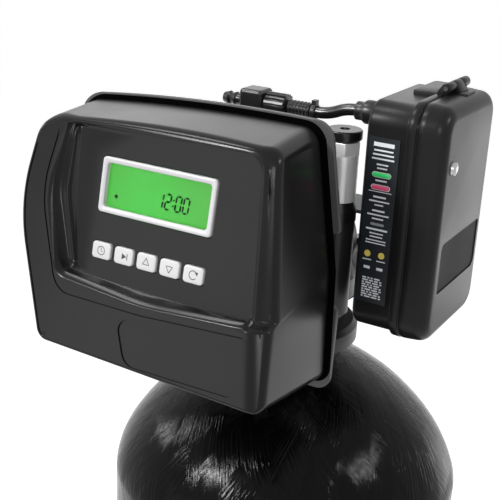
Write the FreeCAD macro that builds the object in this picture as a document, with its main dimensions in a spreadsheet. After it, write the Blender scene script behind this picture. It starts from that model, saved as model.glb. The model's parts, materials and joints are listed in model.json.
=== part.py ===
import FreeCAD, Part
import math
import os
import re
import Sketcher

# An ozone water treatment system: a backwashing tank with a powered control valve on its neck, and
# an ozone generator box beside the valve. The origin is on the floor under the tank's axis, +Z is
# up, the display faces -Y and the ozone box is on the +X side. Millimetres throughout.

Vector = FreeCAD.Vector
doc = FreeCAD.newDocument("ozone_water_treatment")
sheet = doc.addObject("Spreadsheet::Sheet", "Sizes")

DRIVING_SIZES = {
    # Tank
    "tank_radius": 152.5, "tank_wall": 4, "deck_height": 1235, "dome_height": 122.9,
    "dome_drop": 5.8, "dome_power": 1.546, "bottom_dome": 68, "boot_height": 135,
    "boot_wall": 3.5, "boot_floor": 6, "neck_radius": 42, "neck_bore": 32.2,
    # Tubes, screens and filling inside the tank
    "riser_radius": 13.35, "riser_wall": 2.5, "riser_foot": 34, "basket_radius": 28,
    "basket_length": 78, "screen_radius": 24, "screen_length": 62, "gravel_top": 150,
    "media_top": 820, "seal_radius": 36.5, "seal_section": 2,
    # Valve body
    "disc_radius": 55.2, "disc_height": 16, "turret_top": 121, "turret_radius": 42.9,
    "waist_radius": 41.8, "collar_radius": 51.5, "collar_low": 42, "collar_high": 59,
    "thread_radius": 31.8, "thread_length": 34, "barrel_height": 78, "barrel_radius": 34,
    "barrel_bore": 26, "barrel_back": 44, "port_spread": 31, "port_height": 47,
    "port_radius": 19, "port_bore": 13, "port_back": 78, "port_start": 20, "tower_side": 25,
    "tower_front": 40, "tower_radius": 11, "tower_drop": 10.5,
    # Rear plate that carries the drive
    "plate_front": 100.6, "plate_thick": 3.6, "post_radius": 4,
    # Drive train
    "gear_module": 1.5, "pinion_teeth": 12, "wheel_teeth": 36, "main_teeth": 60,
    "gear_backlash": 0.35, "gear_width": 9, "pinion_width": 6, "train_angle": 150,
    "axle_radius": 3, "running_gap": 0.05, "motor_radius": 14, "motor_length": 20,
    "shaft_radius": 1.5, "rod_radius": 6, "rod_front": 164, "nose_radius": 12, "cap_radius": 30,
    "cap_depth": 13, "piston_radius": 17, "piston_length": 62, "piston_front": 66,
    "piston_stroke": 28, "stroke_room": 6, "stack_wall": 8.4, "flow_ring_wide": 12,
    "flow_ring_start": 14, "flow_ring_pitch": 26,
    # Rear connections
    "adapter_length": 52, "union_length": 22, "union_overlap": 8, "turbine_depth": 6,
    "turbine_pin": 20, "turbine_length": 11, "spoke_wide": 1.6, "cage_thick": 4,
    # Control face
    "face_reach": 213, "face_tilt": 11.23, "apron_reach": 229.4, "apron_tilt": 15.75,
    "cover_wall": 2.5, "cover_back": 101, "shoulder_depth": 5, "shoulder_inset": 3.5,
    "room_depth": 24, "panel_rise": 1, "recess_depth": 1, "groove_depth": 2.5,
    "screen_left": -61.5, "screen_low": 150.2, "screen_wide": 86, "screen_tall": 31,
    "bezel_width": 5, "bezel_rise": 2, "lens_thick": 1.2, "button_left": -66.1,
    "button_low": 112.8, "button_wide": 16.1, "button_tall": 12, "button_pitch": 19.4,
    "button_rise": 1.9, "button_travel": 1, "button_gap": 0.4, "board_depth": 14,
    "board_thick": 1.6, "board_left": -82, "board_right": 56, "board_low": 98,
    "board_high": 196, "part_gap": 0.3,
    # Stainless check valve column
    "column_side": 48.5, "column_front": 30, "column_radius": 12.4, "column_low": 126,
    "column_high": 173, "hex_height": 10, "hex_radius": 13.6, "cap_top_radius": 14,
    "cap_height": 9,
    # Ozone generator box
    "box_side": 78, "box_wide": 62, "box_front": 58, "box_deep": 104, "box_low": 45,
    "box_tall": 177, "box_wall": 2.5, "box_corner": 12, "lid_corner": 9, "seam_depth": 40,
    "rim_thick": 3, "rim_proud": 3, "hinge_radius": 3.2, "hinge_length": 44, "hinge_end": 14,
    "label_side": 3.5, "label_wide": 24, "label_tall": 128, "label_thick": 0.6,
    "lamp_wide": 14, "lamp_tall": 3, "lamp_rise": 1.4, "power_lamp_rise": 99,
    "cycle_lamp_rise": 89.5, "hose_drop": 12,
    "hose_front": 40, "bracket_thick": 3, "bracket_wide": 40, "bracket_tall": 70,
    "bracket_drop": 25, "gusset_side": 24, "screw_radius": 3, "lid_screw_back": 19,
    "lid_screw_rise": 134, "lid_screw_length": 14, "gland_rise": 24, "gland_bore": 3.5,
    "gland_side": 11.8, "gland_radius": 10, "gland_length": 18,
    # What the box holds
    "power_board_tall": 84, "power_board_rise": 56, "transformer_tall": 40,
    "transformer_wide": 44, "transformer_deep": 24, "cell_radius": 9, "cell_length": 84,
    "cell_rise": 62, "pump_wide": 32, "pump_tall": 60, "pump_deep": 22, "pump_rise": 76,
    # Ozone hose
    "hose_radius": 4.5, "hose_bore": 3, "sleeve_radius": 6.6, "nut_radius": 9.5,
    "nut_length": 17, "nut_ribs": 16, "nut_start": 11.8, "nut_socket": 6.5,
    "connector_height": 203.5, "elbow_wide": 20, "elbow_tall": 22, "skirt_drop": 15,
    "tie_start": 21,
}


def fill_sheet():
    """One row for each driving size: its word in column A, its value in column B."""
    for row, (alias, value) in enumerate(DRIVING_SIZES.items(), start=1):
        sheet.set(f"A{row}", alias)
        sheet.set(f"B{row}", str(value))
        sheet.setAlias(f"B{row}", alias)
    doc.recompute()


def size(alias):
    """The value of one driving size, as a number."""
    return float(sheet.get(alias))


def tied(text):
    """An expression in which every driving size is read from the sheet."""
    def to_cell(match):
        word = match.group(0)
        return f"Sizes.{word}" if word in DRIVING_SIZES else word
    return re.sub(r"[a-z_]+", to_cell, str(text))


FACING = {
    "up": FreeCAD.Rotation(),
    "down": FreeCAD.Rotation(Vector(1, 0, 0), 180),
    "back": FreeCAD.Rotation(Vector(1, 0, 0), -90),
    "front": FreeCAD.Rotation(Vector(1, 0, 0), 90),
    "right": FreeCAD.Rotation(Vector(0, 1, 0), 90),
    "left": FreeCAD.Rotation(Vector(0, 1, 0), -90),
}


def place(thing, x=0, y=0, z=0, facing="up"):
    """Put an object's own origin at a tied point, with its own Z turned to face a side."""
    thing.Placement = FreeCAD.Placement(Vector(), FACING[facing])
    for axis, value in zip("xyz", (x, y, z)):
        thing.setExpression(f"Placement.Base.{axis}", tied(value))
    return thing


def on_face(thing, x, rise, out):
    """Put an object on the leaning control face: rise runs up the face, out points away from it."""
    lean = "(face_tilt * 1 deg)"
    thing.Placement = FreeCAD.Placement(Vector(), FreeCAD.Rotation(Vector(1, 0, 0), 78))
    thing.setExpression("Placement.Rotation.Angle", tied("(90 - face_tilt) * 1 deg"))
    thing.setExpression("Placement.Base.x", tied(x))
    thing.setExpression("Placement.Base.y", tied(
        f"-face_reach + ({rise}) * sin{lean} - ({out}) * cos{lean}"))
    thing.setExpression("Placement.Base.z", tied(
        f"deck_height + ({rise}) * cos{lean} + ({out}) * sin{lean}"))
    return thing


def set_sizes(thing, **sizes):
    for name, value in sizes.items():
        thing.setExpression(name, tied(value))
    return thing


def cylinder(label, radius, length, x=0, y=0, z=0, facing="up"):
    rod = doc.addObject("Part::Cylinder", label)
    return place(set_sizes(rod, Radius=radius, Height=length), x, y, z, facing)


def block(label, wide, deep, tall, x=0, y=0, z=0):
    box = doc.addObject("Part::Box", label)
    return place(set_sizes(box, Length=wide, Width=deep, Height=tall), x, y, z)


def face_block(label, wide, tall, thick, x, rise, out):
    """A block on the control face, from its lower left corner, growing outward by thick."""
    box = doc.addObject("Part::Box", label)
    return on_face(set_sizes(box, Length=wide, Width=tall, Height=thick), x, rise, out)


def rounded(label, base, radius, keep=lambda edge: True):
    """A fillet on the base's straight edges that pass the test."""
    doc.recompute()
    edges = [(number, radius, radius) for number, edge in enumerate(base.Shape.Edges, start=1)
             if keep(edge)]
    fillet = doc.addObject("Part::Fillet", label)
    fillet.Base = base
    fillet.Edges = edges
    return fillet


def runs_along(axis):
    """A test for edges that run along one of the world axes."""
    def test(edge):
        start, end = edge.Vertexes[0].Point, edge.Vertexes[-1].Point
        run = (end - start)
        return run.Length > 0 and abs(getattr(run, axis)) > 0.999 * run.Length
    return test


def fused(label, *pieces):
    union = doc.addObject("Part::MultiFuse", label)
    union.Shapes = list(pieces)
    return union


def cut(label, base, *tools):
    """The base less one or more tools."""
    result = doc.addObject("Part::Cut", label)
    result.Base = base
    result.Tool = tools[0] if len(tools) == 1 else fused(label + "_tools", *tools)
    return result


def sketch_in(body, name, role, outline):
    """A closed polygon of tied corners in one of the body's own planes."""
    sketch = body.newObject("Sketcher::SketchObject", name)
    plane = [part for part in body.Origin.OriginFeatures if part.Role == role][0]
    sketch.AttachmentSupport = (plane, "")
    sketch.MapMode = "FlatFace"
    numbers = [(evaluate(across), evaluate(up)) for across, up in outline]
    count = len(outline)
    for index in range(count):
        start, end = numbers[index], numbers[(index + 1) % count]
        sketch.addGeometry(Part.LineSegment(Vector(*start, 0), Vector(*end, 0)), False)
    for index in range(count):
        sketch.addConstraint(Sketcher.Constraint("Coincident", index, 2, (index + 1) % count, 1))
    for index, corner in enumerate(outline):
        for kind, text, number in zip(("DistanceX", "DistanceY"), corner, numbers[index]):
            place_in_list = sketch.addConstraint(
                Sketcher.Constraint(kind, -1, 1, index, 1, number))
            sketch.setExpression(f"Constraints[{place_in_list}]", tied(text))
    return sketch


def evaluate(text):
    """The number that a tied expression gives now."""
    result = sheet.evalExpression(tied(text).replace("Sizes.", ""))
    return float(getattr(result, "Value", result))


def turned(label, outline, x=0, y=0, z=0, facing="up"):
    """A body of revolution about its own Z, from corners given as radius and height."""
    body = doc.addObject("PartDesign::Body", label)
    sketch = sketch_in(body, label + "_outline", "XZ_Plane", outline)
    turn = body.newObject("PartDesign::Revolution", label + "_turn")
    turn.Profile = sketch
    turn.ReferenceAxis = (sketch, ["V_Axis"])
    turn.Angle = 360
    return place(body, x, y, z, facing)


def shaped(label, shape):
    """A piece whose shape is worked out here from the sheet's sizes."""
    piece = doc.addObject("Part::Feature", label)
    piece.Shape = shape
    return piece


# Outlines with round corners

def rounded_wire(corners, to_point):
    """A closed wire through corners (across, up, radius), with an arc at each."""
    count = len(corners)
    edges = []
    for index in range(count):
        here = Vector(*corners[index][:2], 0)
        before = (Vector(*corners[index - 1][:2], 0) - here).normalize()
        after = (Vector(*corners[(index + 1) % count][:2], 0) - here).normalize()
        half = before.getAngle(after) / 2
        reach = corners[index][2] / math.tan(half)
        middle = here + (before + after).normalize() * (
            corners[index][2] / math.sin(half) - corners[index][2])
        edges.append([here + before * reach, middle, here + after * reach])
    wire = []
    for index in range(count):
        start, middle, end = [to_point(point) for point in edges[index]]
        wire.append(Part.Arc(start, middle, end).toShape())
        wire.append(Part.LineSegment(end, to_point(edges[(index + 1) % count][0])).toShape())
    return Part.Wire(wire)


def inset(corners, distance):
    """The same outline moved inward on every side, its arcs kept round."""
    count = len(corners)
    area = sum(corners[i - 1][0] * corners[i][1] - corners[i][0] * corners[i - 1][1]
               for i in range(count))
    side = math.copysign(1, area)
    moved = []
    for index in range(count):
        here = Vector(*corners[index][:2], 0)
        before = (here - Vector(*corners[index - 1][:2], 0)).normalize()
        after = (Vector(*corners[(index + 1) % count][:2], 0) - here).normalize()
        normals = [Vector(-way.y, way.x, 0) * side for way in (before, after)]
        step = (normals[0] + normals[1]) * (distance / (1 + normals[0].dot(normals[1])))
        moved.append((here.x + step.x, here.y + step.y, max(corners[index][2] - distance, 1)))
    return moved


def face_point(out, plane="face"):
    """A mapping from a leaning plane's own across and rise to the world, at one height off it."""
    lean = math.radians(size(f"{plane}_tilt"))
    reach, deck = size(f"{plane}_reach"), size("deck_height")

    def to_world(point):
        return Vector(point.x,
                      -reach + point.y * math.sin(lean) - out * math.cos(lean),
                      deck + point.y * math.cos(lean) + out * math.sin(lean))
    return to_world


def upright_point(y):
    """A mapping from across and height above the deck to the world, in an upright plane."""
    deck = size("deck_height")
    return lambda point: Vector(point.x, y, deck + point.y)


# Tank

def dome(radius, top, height, power, from_radius, sign=1):
    """A dome's profile curve, a rounded cone of one power, from a small radius to the wall."""
    share = 2 / power
    first = math.asin((from_radius / radius) ** (1 / share))
    steps = 8
    points = []
    for step in range(steps + 1):
        angle = first + (math.pi / 2 - first) * step / steps
        drop = height * (1 - math.cos(angle) ** share if step < steps else 1)
        points.append(Vector(radius * math.sin(angle) ** share, 0, top - sign * drop))
    curve = Part.BSplineCurve()
    curve.interpolate(points)
    return curve.toShape(), points[0], points[-1]


def tank_skin(outward):
    """The tank as a solid of revolution, its skin moved outward by a distance."""
    radius = size("tank_radius") + outward
    deck = size("deck_height")
    top = deck - size("dome_drop") + outward
    bottom = size("boot_floor") + size("part_gap") - outward
    neck = size("neck_radius") if outward == 0 else size("neck_bore")
    neck_top = deck - size("part_gap") if outward == 0 else deck + 1
    crown, crown_start, crown_end = dome(
        radius, top, size("dome_height") + outward, size("dome_power"), neck)
    base, base_start, base_end = dome(
        radius, bottom, size("bottom_dome") + outward, 2, 0.01, -1)
    axis_low = Vector(0, 0, base_start.z)
    axis_high = Vector(0, 0, neck_top)
    lip = Vector(neck, 0, neck_top)
    edges = [crown, base] + [Part.LineSegment(a, b).toShape() for a, b in (
        (crown_end, base_end), (base_start, axis_low), (axis_low, axis_high),
        (axis_high, lip), (lip, crown_start))]
    face = Part.Face(Part.Wire(Part.__sortEdges__(edges)))
    return face.revolve(Vector(), Vector(0, 0, 1), 360)


def make_tank():
    """The wound shell with its neck, the boot it stands in, and what fills it."""
    inner = tank_skin(-size("tank_wall"))
    shaped("tank_shell", tank_skin(0).cut(inner))
    turned("tank_boot", [
        (0, 0), ("tank_radius + boot_wall", 0), ("tank_radius + boot_wall", "boot_height"),
        ("tank_radius + part_gap", "boot_height"), ("tank_radius + part_gap", "boot_floor"),
        (0, "boot_floor")])
    riser_top = "deck_height - thread_length - part_gap + 14"
    turned("riser_tube", [
        ("riser_radius - riser_wall", "riser_foot"), ("riser_radius", "riser_foot"),
        ("riser_radius", riser_top), ("riser_radius - riser_wall", riser_top)])
    foot_floor = "boot_floor + tank_wall + 8"
    turned("lower_basket", [
        (0, foot_floor), ("basket_radius", foot_floor),
        ("basket_radius", "riser_foot + basket_length"),
        ("riser_radius + part_gap", "riser_foot + basket_length + 10"),
        ("riser_radius + part_gap", "riser_foot - part_gap"), (0, "riser_foot - part_gap")])
    screen_top = "deck_height - thread_length - part_gap"
    turned("upper_basket", [
        ("riser_radius + part_gap", "deck_height - thread_length - screen_length"),
        ("screen_radius", "deck_height - thread_length - screen_length"),
        ("screen_radius", screen_top), ("riser_radius + part_gap", screen_top)])
    bowl = tank_skin(-size("tank_wall") - size("part_gap"))
    far = 4 * size("tank_radius")

    def layer(low, high, core):
        slab = Part.makeCylinder(far, high - low, Vector(0, 0, low))
        return bowl.common(slab).cut(core)

    gap = size("part_gap")
    basket_top = size("riser_foot") + size("basket_length")
    riser_hole = Part.makeCylinder(size("riser_radius") + gap, far * 3, Vector())
    basket_hole = Part.makeCylinder(size("basket_radius") + gap, basket_top + 10 + gap, Vector())
    gravel_core = riser_hole.fuse(basket_hole)
    shaped("gravel_bed", layer(0, size("gravel_top"), gravel_core))
    shaped("media_bed", layer(size("gravel_top"), size("media_top"), gravel_core))
    seal = doc.addObject("Part::Torus", "neck_seal")
    set_sizes(seal, Radius1="seal_radius", Radius2="seal_section")
    place(seal, 0, 0, "deck_height + seal_section - part_gap")


# Valve body and its fittings

# The bore ends a little behind the piston at the end of its stroke
BORE_BACK = "(piston_length - piston_front + piston_stroke + stroke_room)"


def gear_shape(teeth, width, bore, turn=0.0):
    """A spur gear about +Z, its flanks involutes thinned by the backlash."""
    module = size("gear_module")
    pitch = module * teeth / 2
    root, tip = pitch - 1.25 * module, pitch + module
    base = pitch * math.cos(math.radians(20))
    half_tooth = math.pi / (2 * teeth) - size("gear_backlash") / (2 * pitch)

    def spread(radius):
        pressure = math.acos(min(1, base / radius))
        return math.tan(pressure) - pressure

    levels = [max(root, base)] + [pitch, (pitch + tip) / 2, tip]
    flank = [(root, half_tooth + spread(pitch) - spread(levels[0]))] + [
        (radius, half_tooth + spread(pitch) - spread(radius)) for radius in levels]
    if levels[0] == root:
        flank = flank[1:]
    outline = []
    for tooth in range(teeth):
        middle = 2 * math.pi * tooth / teeth + turn
        sides = [(r, middle - a) for r, a in flank] + [(r, middle + a) for r, a in flank[::-1]]
        outline += [Vector(r * math.cos(a), r * math.sin(a), 0) for r, a in sides]
    body = Part.Face(Part.makePolygon(outline + outline[:1])).extrude(Vector(0, 0, width))
    return body.cut(Part.makeCylinder(bore, 3 * width, Vector(0, 0, -width)))


def make_valve_body():
    """The moulded body: a threaded foot, a turret, a level barrel for the piston, and ports."""
    stem = turned("turret", [
        ("riser_radius + part_gap", "-thread_length"), ("thread_radius", "-thread_length"),
        ("thread_radius", "-part_gap"),
        ("seal_radius - seal_section - part_gap", "-part_gap"),
        ("seal_radius - seal_section - part_gap", "2 * seal_section"),
        ("seal_radius + seal_section + part_gap", "2 * seal_section"),
        ("seal_radius + seal_section + part_gap", "-part_gap"),
        ("neck_radius + 4", "-part_gap"), ("disc_radius", "-part_gap"),
        ("disc_radius", "disc_height - 4"), ("disc_radius - 4", "disc_height"),
        ("waist_radius", "disc_height"), ("waist_radius + 2.7", "disc_height + 8"),
        ("waist_radius + 2.7", "disc_height + 12"), ("waist_radius - 2", "disc_height + 15"),
        ("waist_radius + 1", "disc_height + 20"), ("collar_radius", "collar_low"),
        ("collar_radius", "collar_high"), ("turret_radius", "collar_high + 14"),
        ("turret_radius", "turret_top"), ("riser_radius + part_gap", "turret_top")],
        z="deck_height")
    # The polygon's inner bore is the way that the water takes from the riser to the piston
    barrel = cylinder("barrel", "barrel_radius", "plate_front - plate_thick + barrel_back",
                      y="-plate_front + plate_thick", z="deck_height + barrel_height",
                      facing="back")
    crown = cylinder("turret_lid", "turret_radius - 6", "10", z="deck_height + turret_top - 10")
    ports = [cylinder(f"port_{name}", "port_radius", "port_back - port_start",
                      x=f"{sign} * port_spread", y="port_start", z="deck_height + port_height",
                      facing="back")
             for name, sign in (("in", -1), ("out", 1))]
    tower = cylinder("tower", "tower_radius", "connector_height - tower_drop - barrel_height",
                     x="-tower_side", y="-tower_front", z="deck_height + barrel_height")
    boss = cylinder("column_boss", "column_radius + 1", "column_low - 6 - collar_low",
                    x="column_side", y="-column_front", z="deck_height + collar_low")
    whole = fused("valve_block", stem, barrel, crown, *ports, tower, boss)
    bore = cylinder("piston_bore", "barrel_bore", f"plate_front + {BORE_BACK}",
                    y="-plate_front", z="deck_height + barrel_height", facing="back")
    port_bores = [cylinder(f"port_bore_{name}", "port_bore", "port_back + 20",
                           x=f"{sign} * port_spread", y="0.1", z="deck_height + port_height",
                           facing="back")
                  for name, sign in (("in", -1), ("out", 1))]
    tower_bore = cylinder("tower_bore", "hose_bore", "connector_height - tower_drop",
                          x="-tower_side", y="-tower_front",
                          z="deck_height + barrel_height + barrel_bore - 2")
    column_bore = cylinder("column_bore", "hose_bore", "2 * column_low", x="column_side",
                           y="-column_front", z="deck_height + collar_high")
    cut("valve_body", whole, bore, *port_bores, tower_bore, column_bore)


def make_piston_set():
    """The spacer stack in the barrel, and the piston that slides through it on its rod."""
    stack_radius = "barrel_bore - part_gap"
    stack_length = f"{BORE_BACK} - 1 + plate_front - plate_thick"
    piece = turned("spacer_sleeve", [
        ("barrel_bore - stack_wall", 0), (stack_radius, 0), (stack_radius, stack_length),
        ("barrel_bore - stack_wall", stack_length)],
        y="-plate_front + plate_thick", z="deck_height + barrel_height", facing="back")
    grooves = []
    for number in range(4):
        where = {"y": f"-plate_front + plate_thick + flow_ring_start + {number} * flow_ring_pitch",
                 "z": "deck_height + barrel_height", "facing": "back"}
        outer = cylinder(f"flow_ring_{number}", "barrel_bore + 1", "flow_ring_wide", **where)
        inner = cylinder(f"flow_core_{number}", "barrel_bore - stack_wall / 2", "flow_ring_wide",
                         **where)
        grooves.append(cut(f"flow_groove_{number}", outer, inner))
    cut("spacer_stack", piece, *grooves)
    rod_length = "rod_front - piston_front"
    waist = "piston_radius - 5"
    turned("main_piston", [
        (0, 0), ("rod_radius", 0), ("rod_radius", rod_length),
        ("piston_radius", rod_length), ("piston_radius", f"{rod_length} + piston_length * 0.32"),
        (waist, f"{rod_length} + piston_length * 0.38"),
        (waist, f"{rod_length} + piston_length * 0.62"),
        ("piston_radius", f"{rod_length} + piston_length * 0.68"),
        ("piston_radius", f"{rod_length} + piston_length"), (0, f"{rod_length} + piston_length")],
        y="-rod_front", z="deck_height + barrel_height", facing="back")
    # The cap closes the barrel, and its nose is the bearing of the main gear
    turned("drive_cap", [
        ("rod_radius + running_gap", "-5"), ("barrel_bore - stack_wall - part_gap", "-5"),
        ("barrel_bore - stack_wall - part_gap", "0"), ("cap_radius - part_gap", "0"),
        ("cap_radius - part_gap", "cap_depth"), ("nose_radius", "cap_depth"),
        ("nose_radius", "cap_depth + gear_width + 4"),
        ("rod_radius + running_gap", "cap_depth + gear_width + 4")],
        y="-plate_front + plate_thick", z="deck_height + barrel_height", facing="front")


def gear_center():
    """Where the reduction wheel's axle stands, across and above the deck."""
    reach = size("gear_module") * (size("main_teeth") + size("pinion_teeth")) / 2
    angle = math.radians(size("train_angle"))
    return reach * math.cos(angle), size("barrel_height") + reach * math.sin(angle)


def make_drive():
    """Motor, pinion, reduction wheel and main gear, all turning about level axes."""
    deck = size("deck_height")
    front = FACING["front"]
    gear_back = size("plate_front") - size("plate_thick") + size("cap_depth") + 2
    running = size("running_gap")

    def set_on(label, shape, across, up, y):
        piece = shaped(label, shape)
        piece.Placement = FreeCAD.Placement(Vector(across, -y, deck + up), front)

    main_teeth, wheel_teeth = int(size("main_teeth")), int(size("wheel_teeth"))
    pinion_teeth = int(size("pinion_teeth"))
    width = size("gear_width")
    # A tooth of each wheel faces a gap of the next one along the line between their axles
    toward_wheel = math.radians(size("train_angle"))
    main_turn = toward_wheel
    small_turn = toward_wheel + math.pi + math.pi / pinion_teeth
    main = gear_shape(main_teeth, width, size("nose_radius") + running, main_turn)
    nut_front = width + 8
    nut = Part.makeCylinder(size("nose_radius") + 4, nut_front - width, Vector(0, 0, width)).cut(
        Part.makeCylinder(size("nose_radius") + running, nut_front, Vector()))
    web = Part.makeCylinder(size("nose_radius") + 4, 4, Vector(0, 0, nut_front)).cut(
        Part.makeCylinder(size("rod_radius") + running, 4 * nut_front, Vector()))
    set_on("main_gear", main.fuse([nut, web]).removeSplitter(), 0, size("barrel_height"),
           gear_back)
    across, up = gear_center()
    bore = size("axle_radius") + running
    small = gear_shape(pinion_teeth, width + 1.5, bore, small_turn)
    big = gear_shape(wheel_teeth, size("pinion_width"), bore, 0)
    big.translate(Vector(0, 0, width + 1.5))
    set_on("reduction_gear", small.fuse(big).removeSplitter(), across, up, gear_back)
    wheel_reach = size("gear_module") * (wheel_teeth + pinion_teeth) / 2
    pinion = gear_shape(pinion_teeth, size("pinion_width"), size("shaft_radius") + running,
                        math.pi / pinion_teeth)
    set_on("motor_pinion", pinion, across - wheel_reach, up, gear_back + width + 1.5)
    plate_face = size("plate_front")
    axle_length = gear_back + width + size("pinion_width") + 4 - plate_face
    axle = Part.makeCylinder(size("axle_radius"), axle_length, Vector())
    collar = Part.makeCylinder(size("axle_radius") + 3, gear_back - 0.4 - plate_face, Vector())
    set_on("gear_axle", axle.fuse(collar).removeSplitter(), across, up, plate_face)
    can = Part.makeCylinder(size("motor_radius"), size("motor_length"), Vector())
    ears = Part.makeBox(44, 8, 2.5, Vector(-22, -4, 0))
    shaft_end = gear_back + width + size("pinion_width") + 2 - plate_face
    shaft = Part.makeCylinder(size("shaft_radius"), shaft_end, Vector())
    set_on("drive_motor", can.fuse([ears, shaft]).removeSplitter(), across - wheel_reach, up,
           plate_face)


def make_connections():
    """The rear adapters with their union nuts, the flow meter's turbine and the top elbow."""
    for name, sign in (("inlet", -1), ("outlet", 1)):
        turned(f"{name}_adapter", [
            ("port_bore - 0.5", "part_gap"), ("port_radius - 2.5", "part_gap"),
            ("port_radius - 2.5", "16"), ("port_radius - 2.3", "16"),
            ("port_radius - 2.3", "adapter_length"), ("port_bore - 0.5", "adapter_length")],
            x=f"{sign} * port_spread", y="port_back", z="deck_height + port_height",
            facing="back")
    nuts = []
    for name, sign in (("left", -1), ("right", 1)):
        nut = doc.addObject("Part::Prism", f"nut_{name}")
        nut.Polygon = 8
        where = {"x": f"{sign} * port_spread", "y": "port_back - union_overlap",
                 "z": "deck_height + port_height", "facing": "back"}
        place(set_sizes(nut, Circumradius="port_radius + 6.5", Height="union_length"), **where)
        hole = cylinder(f"nut_hole_{name}", "port_radius + part_gap", "union_length", **where)
        nuts.append(cut(f"union_nut_{name}", nut, hole))
    fused("union_nuts", *nuts)
    cage_back = size("port_back") - size("turbine_depth")
    where = FreeCAD.Placement(Vector(size("port_spread"), cage_back,
                                     size("deck_height") + size("port_height")), FACING["front"])
    bore, thick, wide = size("port_bore"), size("cage_thick"), size("spoke_wide")
    ring = Part.makeCylinder(bore - size("part_gap"), thick).cut(Part.makeCylinder(bore - 2.3, thick))
    reach = bore - 1.5
    spokes = [Part.makeBox(2 * reach, wide, thick, Vector(-reach, -wide / 2, 0)),
              Part.makeBox(wide, 2 * reach, thick, Vector(-wide / 2, -reach, 0))]
    pin = Part.makeCylinder(1, size("turbine_pin"))
    shaped("turbine_cage", ring.fuse(spokes + [pin]).removeSplitter()).Placement = where
    above_spokes, length = Vector(0, 0, thick + size("part_gap")), size("turbine_length")
    hub = Part.makeCylinder(3.2, length, above_spokes)
    blades = []
    for number in range(5):
        blade = Part.makeBox(bore - 4, 0.9, length, Vector(1.5, -0.45, above_spokes.z))
        blade.rotate(Vector(), Vector(0, 0, 1), 72 * number)
        blades.append(blade)
    wheel = hub.fuse(blades).removeSplitter().cut(
        Part.makeCylinder(1 + size("running_gap"), length, above_spokes))
    shaped("meter_turbine", wheel).Placement = where


def make_top_elbow():
    """The tee on the tower: one arm to the hose's ribbed nut, one barb for the drain line."""
    head = block("elbow_block", "elbow_wide", "elbow_wide", "elbow_tall",
                 "-tower_side - elbow_wide / 2", "-tower_front - elbow_wide / 2",
                 "deck_height + connector_height - elbow_tall / 2")
    head = rounded("elbow_head", head, 3)
    skirt = cylinder("elbow_skirt", "tower_radius + 2", "skirt_drop - nut_radius - 0.2",
                     x="-tower_side", y="-tower_front",
                     z="deck_height + connector_height - skirt_drop")
    arm = cylinder("elbow_arm", "nut_radius - 2.5", "18", x="-tower_side", y="-tower_front",
                   z="deck_height + connector_height", facing="right")
    barb = turned("elbow_barb", [
        (0, 0), ("hose_radius", 0), ("hose_radius", "16"), ("hose_radius + 1", "17"),
        ("hose_radius - 0.5", "22"), ("hose_radius + 1", "23"), ("hose_radius - 0.5", "28"),
        (0, "28")], x="-tower_side", y="-tower_front",
        z="deck_height + connector_height", facing="left")
    whole = fused("elbow_whole", head, arm, barb, skirt)
    socket = cylinder("elbow_socket", "tower_radius + part_gap", "connector_height - tower_drop",
                      x="-tower_side", y="-tower_front", z="deck_height")
    way = cylinder("elbow_way", "hose_bore", "60", x="-tower_side - 30", y="-tower_front",
                   z="deck_height + connector_height", facing="right")
    cut("drain_elbow", whole, socket, way)
    ribs = int(size("nut_ribs"))
    radius, length = size("nut_radius"), size("nut_length")
    nut = Part.makeCylinder(radius - 0.8, length)
    for number in range(ribs):
        rib = Part.makeBox(2, 1.8, length, Vector(radius - 1.6, -0.9, 0))
        rib.rotate(Vector(), Vector(0, 0, 1), 360 * number / ribs)
        nut = nut.fuse(rib)
    nut = nut.removeSplitter().cut(
        Part.makeCylinder(radius - 2.5 + 0.05, size("nut_socket")))
    nut = nut.cut(Part.makeCylinder(size("hose_radius") + 0.05, length))
    start = -size("tower_side") + size("nut_start")
    shaped("elbow_nut", nut).Placement = FreeCAD.Placement(
        Vector(start, -size("tower_front"), size("deck_height") + size("connector_height")),
        FACING["right"])


def make_check_column():
    """The stainless check valve that stands beside the turret, with its collar and black cap."""
    where = {"x": "column_side", "y": "-column_front"}
    turned("check_elbow", [
        ("hose_bore", 0), ("column_radius + 1.5", 0), ("column_radius + 1.5", "8"),
        ("column_radius - 1", "16"), ("hose_bore", "16")],
        z="deck_height + column_low - 6 + 0.01", **where)
    turned("check_body", [
        ("column_radius - 3", 0), ("column_radius", 0),
        ("column_radius", "column_high - column_low - 10"),
        ("column_radius - 3", "column_high - column_low - 10")],
        z="deck_height + column_low + 10.02", **where)
    collar = doc.addObject("Part::Prism", "collar_prism")
    collar.Polygon = 6
    set_sizes(collar, Circumradius="hex_radius", Height="hex_height")
    place(collar, z="deck_height + column_high + 0.03", **where)
    hole = cylinder("collar_hole", "column_radius - 3", "hex_height",
                    z="deck_height + column_high + 0.03", **where)
    cut("check_collar", collar, hole)
    turned("check_cap", [
        (0, 0), ("cap_top_radius - 2", 0), ("cap_top_radius", "2"),
        ("cap_top_radius", "cap_height - 1"), ("cap_top_radius - 1", "cap_height"),
        ("4", "cap_height"), ("4", "cap_height - 3"), (0, "cap_height - 3")],
        z="deck_height + column_high + hex_height + 0.04", **where)


# Rear plate and control head

# Corners across and above the deck, with the radius of each
PLATE_OUTLINE = [(-148, 205, 20), (-152, 128, 90), (-112, 8, 30), (84, 9, 12), (86, 78, 4),
                 (73, 80, 3), (73, 133, 3), (87, 134, 3), (80, 214, 16)]
REAR_OUTLINE = [(-143, 200, 20), (-147, 130, 90), (-108, 17, 30), (81, 18, 10), (75, 208, 12)]
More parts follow.
